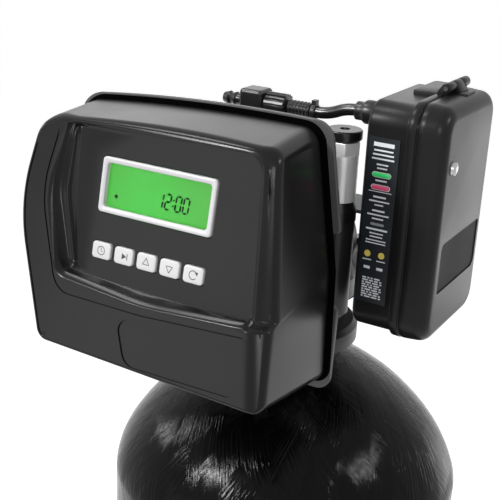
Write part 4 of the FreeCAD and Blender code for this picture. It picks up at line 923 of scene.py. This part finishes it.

# %% [markdown]
# Behind the cover stands the upright plate that carries the drive. Its top edge is arched like the
# cover's and shows as a thin paler band. A thin flat black strip round the cover's rim parts the two:
# it is painted shadow, standing in for the dark gap where the cover meets the plate. Four posts
# hold the circuit board off it. They stand square to the leaning panel, as the board does.

# %% Rear plate and its strip of painted shadow
BACK_PLATE = [(-148, 204, 20), (-152, 128, 90), (-112, 8, 30), (84, 9, 12), (86, 78, 4),
              (73, 80, 3), (73, 133, 3), (83.5, 134, 3), (71, 211, 14)]
BACK_PLATE_STEPS = (8, 10, 24, 24, 8, 4, 8, 10, 40)
PLATE_BACK_Y, PLATE_FRONT_Y, PLATE_EDGE = -97.0, -100.6, 0.6
CAP_HOLE, CAP_Z, CAP_CUT, CAP_STEPS = 30.0, 78.0, (-90, -106), 64
POSTS = [(-76, 190), (50, 190), (50, 104), (-76, 147)]
POST_RADIUS, POST_SUNK, POST_STEPS, BOARD_BACK = 4.0, 1.8, 32, -15.6
# The strip of painted shadow: how far it grows out, its inset, its depth and its gap off the plate.
SHADOW_GROWN, SHADOW_INSET, SHADOW_DEEP, SHADOW_GAP = 3.2, 3, 0.6, 0.05


def on_panel(x, rise, out):
    """A point on the leaning panel: rise runs up the panel, out stands off it."""
    lean = PANEL_TILT
    return at(x, -PANEL_REACH + rise * math.sin(lean) - out * math.cos(lean),
              rise * math.cos(lean) + out * math.sin(lean))


def circle(middle, along, radius, steps):
    """A ring of points round an axis."""
    side = along.orthogonal().normalized()
    other = along.normalized().cross(side)
    return [middle + (side * math.cos(turn) + other * math.sin(turn)) * radius
            for turn in (2 * math.pi * step / steps for step in range(steps))]


def build_back_plate():
    edge = crowned(outline(BACK_PLATE, BACK_PLATE_STEPS), *PLATE_CROWN)
    small = shrunk(edge, PLATE_EDGE)
    rings = [upright_ring(small, PLATE_BACK_Y), upright_ring(edge, PLATE_BACK_Y - PLATE_EDGE),
             upright_ring(edge, PLATE_FRONT_Y + PLATE_EDGE), upright_ring(small, PLATE_FRONT_Y)]
    plate = skin("back_plate", rings, "base", "bracket_black")
    carve(plate, [circle(at(0, y, CAP_Z), Vector((0, 1, 0)), CAP_HOLE * MM, CAP_STEPS)
                  for y in CAP_CUT])
    for number, (across, rise) in enumerate(POSTS):
        to_plate = PLATE_FRONT_Y + POST_SUNK + PANEL_REACH - rise * math.sin(PANEL_TILT)
        start, stop = (on_panel(across, rise, out)
                       for out in (-to_plate / math.cos(PANEL_TILT), BOARD_BACK))
        skin(f"board_post_{number}",
             [circle(end, stop - start, POST_RADIUS * MM, POST_STEPS) for end in (start, stop)],
             "base", "bracket_black")
    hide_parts("drive_bracket")


# A thin flat black ring on the plate's front face round the cover's rim: painted shadow for the gap
# there.
def build_shadow_strip():
    rear = rear_outline()
    wide, narrow = shrunk(rear, -SHADOW_GROWN), shrunk(rear, SHADOW_INSET)
    front, back = PLATE_FRONT_Y - SHADOW_DEEP, PLATE_FRONT_Y - SHADOW_GAP
    rings = [upright_ring(points, y) for points, y in ((wide, back), (wide, front), (narrow, front),
                                                       (narrow, back), (wide, back))]
    skin("shadow_strip", rings, "base", "seal_rubber", SHADOW_BLACK, cap=False)


build_back_plate()
build_shadow_strip()
print(f"rear plate, {len(POSTS)} posts and foam strip")

# %% [markdown]
# The display's window and the five key openings are cut through the panel, and the plain plate on
# the apron is sunk by about a millimetre, so that its edge draws a thin line of light.

# %% Head cover: openings and the sunk plate
SCREEN = (-61.5, 150.2, 24.5, 181.2)
BEZEL_WIDTH, BEZEL_CORNER, BEZEL_GAP = 4.2, 3.0, 0.8
KEYS = ["clock", "next", "up", "down", "cycle"]
KEY_LEFT, KEY_LOW, KEY_WIDE, KEY_TALL, KEY_PITCH = -66.1, 112.8, 16.1, 12.0, 19.4
KEY_CORNER, KEY_GAP = 1.3, 0.55
APRON_PLATE = [(-33.5, 77.6, 7), (62.5, 80.6, 8), (71.2, 49, 7), (-20.5, 47.6, 12)]
APRON_PLATE_DEPTH = 1.1
CUT_BACK, CUT_FRONT = -15, 5
PLAIN_SIDES = (2, 2, 2, 2)


def rectangle(left, low, right, high, radius):
    return outline([(left, low, radius), (right, low, radius), (right, high, radius),
                    (left, high, radius)], PLAIN_SIDES)


def panel_ring(points, out):
    return [on_panel(p.x, p.y, out) for p in points]


def key_box(number, grown=0.0):
    left = KEY_LEFT + number * KEY_PITCH
    return (left - grown, KEY_LOW - grown, left + KEY_WIDE + grown, KEY_LOW + KEY_TALL + grown)


def cut_window(ring):
    carve(head_cover, [panel_ring(ring, out) for out in (CUT_BACK, CUT_FRONT)])


def open_cover():
    left, low, right, high = SCREEN
    edge = BEZEL_WIDTH + BEZEL_GAP
    cut_window(rectangle(left - edge, low - edge, right + edge, high + edge,
                         BEZEL_CORNER + BEZEL_GAP))
    for number in range(len(KEYS)):
        cut_window(rectangle(*key_box(number, KEY_GAP), KEY_CORNER + KEY_GAP))
    plate = outline(APRON_PLATE, PLAIN_SIDES)
    floor = [apron_height(p.y) - APRON_PLATE_DEPTH for p in plate]
    carve(head_cover, [front_ring(plate, floor), front_ring(plate, [h + CUT_FRONT for h in floor])])
    shade(head_cover.data, MOULDED_SMOOTH)


open_cover()
print(f"head cover after cutting: {len(head_cover.data.vertices)} points")

# %% [markdown]
# The bezel is a white frame with round corners that stands a little proud and slopes in to the
# window. It is a skin whose rings start behind the panel, roll over the frame and drop to the glass.

# %% Display bezel
# How far each ring lies inside the window's edge, and how far it stands off the panel.
BEZEL_RINGS = ((-BEZEL_WIDTH, -2.4), (-BEZEL_WIDTH, 0.9), (-BEZEL_WIDTH + 0.25, 1.4),
               (-BEZEL_WIDTH + 0.8, 1.75), (-BEZEL_WIDTH + 1.6, 1.85), (-1.2, 1.5), (-0.5, 1.2),
               (-0.1, 0.8), (0, 0.3), (0, -2.4))
BEZEL_LEAST_CORNER, BEZEL_SMOOTH = 0.3, 45


def build_bezel():
    left, low, right, high = SCREEN
    rings = []
    for inset, out in BEZEL_RINGS:
        radius = max(BEZEL_CORNER - (inset + BEZEL_WIDTH), BEZEL_LEAST_CORNER)
        ring = rectangle(left + inset, low + inset, right - inset, high - inset, radius)
        rings.append(panel_ring(ring, out))
    rings.append(rings[0])
    bezel = skin("display_bezel", rings, "cover", "bezel_white", cap=False, smooth=BEZEL_SMOOTH)
    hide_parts("lcd_bezel")


build_bezel()
print(f"bezel of {len(BEZEL_RINGS)} rings")

# %% [markdown]
# Digits and signs are flat polygons. A digit is made of seven slanted bars with pointed ends, as
# on the real display, and all marks of one kind are joined in one mesh.

# %% Display digits
SEGMENTS = {"1": "bc", "2": "abged", "0": "abcdef"}
SEGMENT_LINES = {"a": ((0, 1), (1, 1)), "b": ((1, 1), (1, 0.5)), "c": ((1, 0.5), (1, 0)),
                 "d": ((0, 0), (1, 0)), "e": ((0, 0.5), (0, 0)), "f": ((0, 1), (0, 0.5)),
                 "g": ((0, 0.5), (1, 0.5))}
DIGIT_LEFT, DIGIT_LOW, DIGIT_TALL, DIGIT_WIDE, DIGIT_PITCH = -19.4, 157.4, 10.5, 4.2, 6.3
DIGIT_SLANT, DIGIT_STROKE, DIGIT_TRIM, DISPLAY_OUT = 0.08, 1.4, 0.3, -2.72
COLON_RISES, COLON_SHIFT, COLON_HALF, COLON_PITCH = (0.3, 0.68), 0.2, 0.6, 2.2
DROP_MIDDLE, DROP_RADIUS, DROP_STEPS = Vector((-54, 158.2)), 1.5, 14


def bar(start, stop, width, trim=0.0):
    """A flat bar with pointed ends between two points, as a polygon."""
    along = (stop - start).normalized()
    across = Vector((-along.y, along.x)) * width / 2
    start, stop = start + along * trim, stop - along * trim
    reach = along * width / 2
    return [start, start + reach + across, stop - reach + across, stop, stop - reach - across,
            start + reach - across]


def flat_marks(name, polygons, to_scene, body, slot, material):
    """Printed marks: thin flat polygons joined in one mesh, each a little raised."""
    points, faces = [], []
    for polygon in polygons:
        first = len(points)
        points += [to_scene(p) for p in polygon]
        triangles = tessellate_polygon([[Vector((p.x, p.y, 0)) for p in polygon]])
        faces += [tuple(first + corner for corner in triangle) for triangle in triangles]
    mesh_piece(name, points, faces, body, slot, material)


def turning(middle, radius, steps):
    """Points on a flat circle."""
    return [middle + radius * Vector((math.cos(a), math.sin(a)))
            for a in (math.tau * step / steps for step in range(steps))]


def slanted(x, z):
    return Vector((x + (z - DIGIT_LOW) * DIGIT_SLANT, z))


def digit_polygons():
    polygons = []
    x = DIGIT_LEFT
    for sign in "12:00":
        if sign == ":":
            for rise in COLON_RISES:
                middle = slanted(x + COLON_SHIFT, DIGIT_LOW + DIGIT_TALL * rise)
                polygons.append([middle + Vector(corner) * COLON_HALF for corner in SQUARE])
            x += COLON_PITCH
            continue
        for letter in SEGMENTS[sign]:
            ends = [slanted(x + a * DIGIT_WIDE, DIGIT_LOW + b * DIGIT_TALL)
                    for a, b in SEGMENT_LINES[letter]]
            polygons.append(bar(*ends, DIGIT_STROKE, trim=DIGIT_TRIM))
        x += DIGIT_PITCH
    return polygons + [turning(DROP_MIDDLE, DROP_RADIUS, DROP_STEPS)]


flat_marks("display_digits", digit_polygons(), lambda p: on_panel(p.x, p.y, DISPLAY_OUT), "base",
           "display_green", DIGIT_DARK)
print("display: four digits, a colon and a drop")

# %% [markdown]
# The keys are small white caps with soft edges. Each rides on its own body, so that it can be
# pressed. On the real object they carry words; here each has a plain sign for what it does: a clock
# face, a step forward, up, down, and a turning arrow.

# %% Keys and their signs
KEY_TOP, KEY_LEAST_CORNER, SIGN_LIFT = 1.9, 0.4, 0.09
# How far each ring lies inside the key's edge, and how far it stands off the panel.
KEY_RINGS = ((0.0, -2.6), (0.0, KEY_TOP - 0.9), (0.12, KEY_TOP - 0.45), (0.4, KEY_TOP - 0.12),
             (0.9, KEY_TOP), (3.0, KEY_TOP + 0.06))
SIGN_RADIUS, SIGN_STEPS, CLOCK_HANDS = 3, 28, ((0, 2.3), (1.6, -0.7))
STEP_SIZE, STEP_BAR, ARROW_SIZE = 2.6, (3.2, 2.4), 3.1
TURN_ARC, TURN_TIP, TURN_HEAD = (3, 26), 2, ((-1.5, 0.9), (1.2, 1.2), (0.6, -1.6))
SIGN_LINE, HAND_LINE, STEP_LINE, TURN_LINE = 0.55, 0.5, 0.7, 0.6


def build_key(number):
    name = KEYS[number]
    left, low, right, high = key_box(number)
    rings = []
    for inset, out in KEY_RINGS:
        ring = rectangle(left + inset, low + inset, right - inset, high - inset,
                         max(KEY_CORNER - inset * 0.5, KEY_LEAST_CORNER))
        rings.append(panel_ring(ring, out))
    key = skin(f"{name}_key_cap", rings, f"{name}_key", "key_white", smooth=MOULDED_SMOOTH)
    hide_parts(f"{name}_button")


def loop_strip(points, width):
    """A closed line of even width, as short four-sided pieces."""
    count = len(points)
    strips = []
    for number in range(count):
        a, b = points[number], points[(number + 1) % count]
        across = Vector((-(b - a).y, (b - a).x)).normalized() * width / 2
        strips.append([a - across, b - across, b + across, a + across])
    return strips


def sign_polygons(number):
    left, low, right, high = key_box(number)
    middle = Vector(((left + right) / 2, (low + high) / 2))
    ring = turning(middle, SIGN_RADIUS, SIGN_STEPS)

    def triangle(turn, size):
        return [middle + size * Vector((math.cos(a + turn), math.sin(a + turn)))
                for a in (math.pi / 2, math.pi * 7 / 6, math.pi * 11 / 6)]

    if KEYS[number] == "clock":
        return loop_strip(ring, SIGN_LINE) + [bar(middle, middle + Vector(hand), HAND_LINE)
                                              for hand in CLOCK_HANDS]
    if KEYS[number] == "next":
        across, half = STEP_BAR
        return [triangle(-math.pi / 2, STEP_SIZE),
                bar(middle + Vector((across, -half)), middle + Vector((across, half)), STEP_LINE)]
    if KEYS[number] in ("up", "down"):
        turn = math.pi if KEYS[number] == "down" else 0.0
        return loop_strip(triangle(turn, ARROW_SIZE), HAND_LINE)
    first, last = TURN_ARC
    open_ring = loop_strip(ring[first:last], TURN_LINE)[:-1]
    return open_ring + [[ring[TURN_TIP] + Vector(corner) for corner in TURN_HEAD]]


for number, name in enumerate(KEYS):
    build_key(number)
    flat_marks(f"{name}_sign", sign_polygons(number),
               lambda p: on_panel(p.x, p.y, KEY_TOP + SIGN_LIFT), f"{name}_key", "key_white",
               MARK_DARK)
print(f"{len(KEYS)} keys")

# %% [markdown]
# The tank is turned: one profile round an upright axis, dense enough that its gloss shows no
# facets. Its ribbons of roving really stand up from one another by a fraction of a millimetre, so
# they are in the mesh as well, by the same two paths that the shader's strands follow.

# %% Wound tank
TANK_RADIUS, DOME_TOP, DOME_HEIGHT, DOME_POWER = 152.5, -5.8, 122.9, 1.546
NECK_RADIUS, NECK_WALL, NECK_TOP, NECK_LOW = 42.0, 6, -0.3, -12
TANK_FOOT, FOOT_DOME, FOOT_ROWS = 6.3, 68.0, 16
TANK_TURNS, WALL_ROWS, DOME_ROWS, TANK_SMOOTH = 360, 190, 70, 60
RIBBON_RISE, RIBBON_EDGE, UNDER_SHARE, RIBBON_FROM = 0.25, 1.6, 0.6, 1


def tank_profile():
    """Radius and height of the tank's skin, from its neck down to its foot."""
    share = 2 / DOME_POWER
    floor = TANK_FOOT - DECK / MM
    profile = [(NECK_RADIUS - NECK_WALL, NECK_TOP), (NECK_RADIUS, NECK_TOP), (NECK_RADIUS, NECK_LOW)]
    first = math.asin((NECK_RADIUS / TANK_RADIUS) ** (1 / share))
    for step in range(DOME_ROWS + 1):
        angle = first + (math.pi / 2 - first) * step / DOME_ROWS
        drop = DOME_HEIGHT * (1 - max(math.cos(angle), 0) ** share)
        profile.append((TANK_RADIUS * math.sin(angle) ** share, DOME_TOP - drop))
    wall_top, wall_foot = DOME_TOP - DOME_HEIGHT, floor + FOOT_DOME
    profile += [(TANK_RADIUS, wall_top + (wall_foot - wall_top) * step / WALL_ROWS)
                for step in range(1, WALL_ROWS + 1)]
    for step in range(1, FOOT_ROWS):
        angle = math.pi / 2 * (1 - step / FOOT_ROWS)
        profile.append((TANK_RADIUS * math.sin(angle), wall_foot - FOOT_DOME * math.cos(angle)))
    return profile


def ribbon_height(radius, angle, z):
    bend = math.acos(min(PATH_NECK / max(radius, PATH_NECK), 1))
    path = bend - (DECK + z * MM) * CLIMB
    one, other = (math.sin(RIBBONS * (angle + side * path)) for side in (1, -1))
    over, under = (eased(0.5 + wave * RIBBON_EDGE) for wave in (one, other))
    return RIBBON_RISE * (over + UNDER_SHARE * under - 1)


def build_tank():
    rings = []
    for radius, z in tank_profile():
        ring = []
        for step in range(TANK_TURNS):
            angle = math.tau * step / TANK_TURNS
            wound = radius > NECK_RADIUS + RIBBON_FROM
            lift = ribbon_height(radius, angle, z) if wound else 0
            ring.append(at((radius + lift) * math.cos(angle), (radius + lift) * math.sin(angle), z))
        rings.append(ring)
    tank = skin("wound_shell", rings, "base", "wound_tank", smooth=TANK_SMOOTH)
    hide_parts("tank_shell")
    print(f"tank: {len(rings)} rings of {TANK_TURNS} points")


build_tank()

# %% [markdown]
# The generator box is two deep trays that meet at an upright seam. The back tray ends in a broad
# proud rim, and the lid is as wide as that rim, so that only a black line parts the two. Rings of
# one rounded rectangle, set at different depths and insets, give the rim, the soft edges and the
# wide face in one skin. Rings that lie close together keep an edge crisp, and rings far apart let it
# run out softly.

# %% Generator box
BOX_BACK, BOX_SEAM, BOX_FACE = 78.0, 118.0, 140.0
BOX_NEAR, BOX_FAR, BOX_LOW, BOX_HIGH = -58.0, 46.0, 45.0, 222.0
BOX_CORNER, BOX_LEAST_CORNER, BOX_WALL, BOX_INSIDE = 17.0, 1.5, 2.5, 8
BACK_ROLL, LID_ROLL, LID_PROUD, ROLL_STEPS = 4.0, 10.0, 2.0, 10
RIM_BACK, LID_START = BOX_SEAM - 7.5, BOX_SEAM + 0.3
# Each rim is a row of rings from the seam outward: where across, and how far proud of the side.
BACK_RIM = ((BOX_SEAM, 1.6), (BOX_SEAM - 0.7, 1.9), (BOX_SEAM - 0.9, 2.7), (BOX_SEAM - 1.3, 3),
            (RIM_BACK + 0.6, 2.8), (RIM_BACK + 0.1, 2.5), (RIM_BACK - 0.4, 1.8),
            (RIM_BACK - 1.0, 0.4), (RIM_BACK - 1.6, 0))
LID_RIM = ((LID_START, 1.6), (LID_START + 0.5, 1.9), (LID_START + 0.6, 2.5),
           (LID_START + 1.1, 2.8), (LID_START + 5, 2.6))


def box_ring(x, inset):
    ring = rectangle(BOX_NEAR + inset, BOX_LOW + inset, BOX_FAR - inset, BOX_HIGH - inset,
                     max(BOX_CORNER - inset, BOX_LEAST_CORNER))
    return [at(x, p.x, p.y) for p in ring]


def half_box(name, body, face, roll, rim, proud):
    """One tray of the box: its inside, its rim, and the roll from its side onto its flat face."""
    side = 1 if face > BOX_SEAM else -1
    rings = [box_ring(face - side * BOX_WALL, roll + BOX_INSIDE),
             box_ring(face - side * BOX_WALL, roll), box_ring(face - side * roll, BOX_WALL),
             box_ring(rim[0][0], BOX_WALL)]
    rings += [box_ring(x, -out) for x, out in rim]
    for step in range(ROLL_STEPS + 1):
        angle = math.pi / 2 * step / ROLL_STEPS
        rings.append(box_ring(face - side * roll * (1 - math.sin(angle)),
                              roll * (1 - math.cos(angle)) - proud))
    return skin(name, rings, body, "box_black")


generator_back = half_box("generator_back", "base", BOX_BACK, BACK_ROLL, BACK_RIM, 0.0)
generator_lid = half_box("generator_lid", "lid", BOX_FACE, LID_ROLL, LID_RIM, LID_PROUD)
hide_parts("box_shell")
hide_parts("box_lid")
print(f"box: back {len(generator_back.data.vertices)}, lid {len(generator_lid.data.vertices)} points")

# %% [markdown]
# Into the lid's face a bare place for a plate is sunk by under a millimetre. A cutter of the same
# outline does it, as on the head's apron, and the dark line on its lower and far edges is nothing
# but the shadow of the step.

# %% Generator box: the sunk place in the lid
LID_PLACE = [(-44.5, 82.5, 1.5), (36, 82.5, 7), (36, 122, 2), (-44.5, 122, 5)]
PLACE_FLOOR, PLACE_CUT, PLACE_INSET, PLACE_LIFT = BOX_FACE - 0.9, BOX_FACE + 4, 0.15, 0.05


def sink_lid_place():
    place = outline(LID_PLACE, PLAIN_SIDES)
    carve(generator_lid, [[at(x, p.x, p.y) for p in place] for x in (PLACE_FLOOR, PLACE_CUT)])
    shade(generator_lid.data, PLAIN_SMOOTH)
    flat_marks("lid_place_floor", [shrunk(place, PLACE_INSET)],
               lambda p: at(PLACE_FLOOR + PLACE_LIFT, p.x, p.y), "lid", "box_black", PLACE_MATT)


sink_lid_place()
print(f"lid after cutting: {len(generator_lid.data.vertices)} points")

# %% [markdown]
# The lid swings on three knuckles round one pin, two on the back tray and one on the lid. Each is a
# short bar with a round top and a square foot: its cross-section is drawn once and swept along the
# pin, a little smaller at both ends, so that the ends are soft. A low pad carries them.

# %% Generator box: hinge
PIN_X, PIN_Z = 118.15, 229.3
HINGE_START, HINGE_STEP, KNUCKLE_GAP, HINGE_SUNK = -12.0, 44 / 3, 0.3, 0.4
KNUCKLE_RADIUS, ROUND_FROM, ROUND_TURN, ROUND_STEPS = 3.9, -60, 210, 12
FOOT_FAR, FOOT_NEAR, FOOT_HIGH = 6.4, 0.3, -2.6
KNUCKLE_ENDS = ((0, 0.45), (0.15, 0.15), (0.45, 0))
PAD_TOP, PAD_CORNER, PAD_BESIDE = BOX_HIGH + 3.4, 1.6, 3
PAD_RINGS = ((BOX_HIGH - 1, 0), (PAD_TOP - 0.9, 0), (PAD_TOP - 0.3, 0.25), (PAD_TOP, 0.9))
# Each pad's sides: from and to across, from and to along the pin.
BACK_PAD = (92, PIN_X - 3.2, -10, 36)
LID_PAD = (PIN_X + 3.6, 131, HINGE_START + HINGE_STEP - PAD_BESIDE,
           HINGE_START + 2 * HINGE_STEP + PAD_BESIDE)


def pad(name, sides, body):
    """A low raised place with soft upper edges on the top of the box."""
    x_from, x_to, y_from, y_to = sides
    rings = []
    for z, inset in PAD_RINGS:
        ring = rectangle(x_from + inset, y_from + inset, x_to - inset, y_to - inset, PAD_CORNER)
        rings.append([at(p.x, p.y, z) for p in ring])
    skin(name, rings, body, "box_black")


def knuckle_section(side):
    """A round top over a foot that stands to one side of the pin."""
    low = BOX_HIGH - HINGE_SUNK - PIN_Z
    section = [(side * FOOT_FAR, low), (side * FOOT_NEAR, low)]
    for step in range(ROUND_STEPS + 1):
        angle = math.radians(ROUND_FROM + ROUND_TURN * step / ROUND_STEPS)
        section.append((-side * KNUCKLE_RADIUS * math.cos(angle), KNUCKLE_RADIUS * math.sin(angle)))
    section.append((side * FOOT_FAR, FOOT_HIGH))
    section = [Vector((PIN_X + x, PIN_Z + z)) for x, z in section]
    return section if side < 0 else section[::-1]


def build_hinge():
    for number in range(3):
        side = 1 if number == 1 else -1
        start = HINGE_START + number * HINGE_STEP + KNUCKLE_GAP
        stop = start + HINGE_STEP - 2 * KNUCKLE_GAP
        section = knuckle_section(side)
        places = [(start + step, inset) for step, inset in KNUCKLE_ENDS]
        places += [(stop - step, inset) for step, inset in reversed(KNUCKLE_ENDS)]
        rings = [[at(p.x, y, p.y) for p in shrunk(section, inset)] for y, inset in places]
        skin(f"hinge_knuckle_{number + 1}", rings, "lid" if side > 0 else "base", "box_black")
    pad("hinge_pad_back", BACK_PAD, "base")
    pad("hinge_pad_lid", LID_PAD, "lid")


build_hinge()
print("hinge: three knuckles and two pads")

# %% [markdown]
# The label on the box's narrow side is a dark plate. What such a plate says is left off: plain pale
# bars stand where the lines of print would be, two plain dots where small signs would be, and a
# block of short bars at the foot.

# %% Generator box: plate and bars
PLATE_Y, PLATE_MIDDLE, PRINT_LIFT = -58.6, 93.5, 0.06
# Height, width and thickness of each pale bar.
BAR_ROWS = [(192.4, 16, 3.0), (188.0, 15, 1.2), (184.9, 16.5, 1.2), (181.8, 17.5, 1.2),
            (177.6, 9, 1.2), (174.8, 8, 1.2), (165.6, 9, 1.3), (157.2, 18, 0.6), (153.2, 10, 1.4),
            (149.9, 16, 1.1), (147.0, 7, 1.0), (142.6, 10, 1.3), (139.4, 17, 1.1), (136.4, 9, 1.1),
            (128.2, 17, 1.5), (125.0, 11, 1.0), (122.4, 10, 1.0), (119.6, 16, 0.9), (117.4, 16, 0.9)]
# Distance from the middle, height, width and thickness of the bars that stand in pairs.
BAR_PAIRS = [(5.6, 103.8, 7, 0.8), (5.2, 97.6, 5, 2.2)]
BLOCK_HALF, BLOCK_END, BLOCK_LOW, BLOCK_LINES, BLOCK_PITCH = 8.0, 6.5, 74.0, 9, 1.9
WORD_LEAST, WORD_MORE, WORD_GAP, WORD_TALL = 1.6, 1.5, 1.1, 1.1
DOT_APART, DOT_Z, DOT_WIDE = 5.6, 108.5, 5.2
PILL_MARK = (132.2, 11, 2.0)
PILL_STEPS = 8


def box_bar(middle, z, wide, tall):
    return [Vector((middle + a * wide / 2, z + b * tall / 2)) for a, b in SQUARE]


def round_bar(middle, z, wide, tall):
    reach = wide / 2 - tall / 2
    return [Vector((middle + side * reach + tall / 2 * math.cos(angle + turn),
                    z + tall / 2 * math.sin(angle + turn)))
            for side, turn in ((1, -math.pi / 2), (-1, math.pi / 2))
            for angle in (math.pi * step / PILL_STEPS for step in range(PILL_STEPS + 1))]


def on_plate(p):
    return at(p.x, PLATE_Y - PRINT_LIFT, p.y)


def block_bars():
    """Short bars of three lengths in even lines, like a block of small print from afar."""
    bars = []
    for line in range(BLOCK_LINES):
        start = PLATE_MIDDLE - BLOCK_HALF
        while start < PLATE_MIDDLE + BLOCK_END:
            long = WORD_LEAST + WORD_MORE * ((line * 5 + round(start * 2)) % 3)
            long = min(long, PLATE_MIDDLE + BLOCK_HALF - start)
            bars.append(box_bar(start + long / 2, BLOCK_LOW + line * BLOCK_PITCH, long, WORD_TALL))
            start += long + WORD_GAP
    return bars


def build_plate_marks():
    pale = [box_bar(PLATE_MIDDLE, z, wide, tall) for z, wide, tall in BAR_ROWS]
    pale += [box_bar(PLATE_MIDDLE + side * apart, z, wide, tall)
             for apart, z, wide, tall in BAR_PAIRS for side in (-1, 1)]
    dots = [round_bar(PLATE_MIDDLE + side * DOT_APART, DOT_Z, DOT_WIDE, DOT_WIDE)
            for side in (-1, 1)]
    for name, polygons, material in (
            ("plate_bars", pale + block_bars(), MARK_PALE), ("plate_dots", dots, MARK_AMBER),
            ("plate_pill", [round_bar(PLATE_MIDDLE, *PILL_MARK)], MARK_GREY)):
        flat_marks(name, polygons, on_plate, "base", "label_blue", material)


build_plate_marks()
print(f"plate: {len(BAR_ROWS)} bars, {len(BAR_PAIRS)} pairs and a block of {BLOCK_LINES} lines")

# %% [markdown]
# The two lamps on the plate are pills with a rounded front, lit a little from inside. Each is a
# skin of shrinking rings that stands in a pale printed ring, and replaces the CAD model's lamp.

# %% Generator box: lamps
LAMP_WIDE, LAMP_TALL, LAMP_RING, LAMP_RING_LINE = 14, 3, 0.7, 0.5
LAMP_RINGS = ((0, -0.02), (0, 0.8), (0.15, 1.1), (0.45, 1.3), (1.0, 1.4))


def build_lamp(node, z, slot):
    """A pill with a round front, in a pale ring."""
    rings = []
    for inset, out in LAMP_RINGS:
        pill = round_bar(PLATE_MIDDLE, z, LAMP_WIDE - 2 * inset, LAMP_TALL - 2 * inset)
        rings.append([at(p.x, PLATE_Y - out, p.y) for p in pill])
    lamp = skin(f"{slot}_pill", rings, "base", slot, smooth=MOULDED_SMOOTH)
    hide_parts(node)
    ring = round_bar(PLATE_MIDDLE, z, LAMP_WIDE + LAMP_RING, LAMP_TALL + LAMP_RING)
    flat_marks(f"{slot}_ring", loop_strip(ring, LAMP_RING_LINE), on_plate, "base", slot, MARK_PALE)


build_lamp("power_lamp", 170.0, "lamp_green")
build_lamp("cycle_lamp", 160.5, "lamp_red")
print("two lamps")
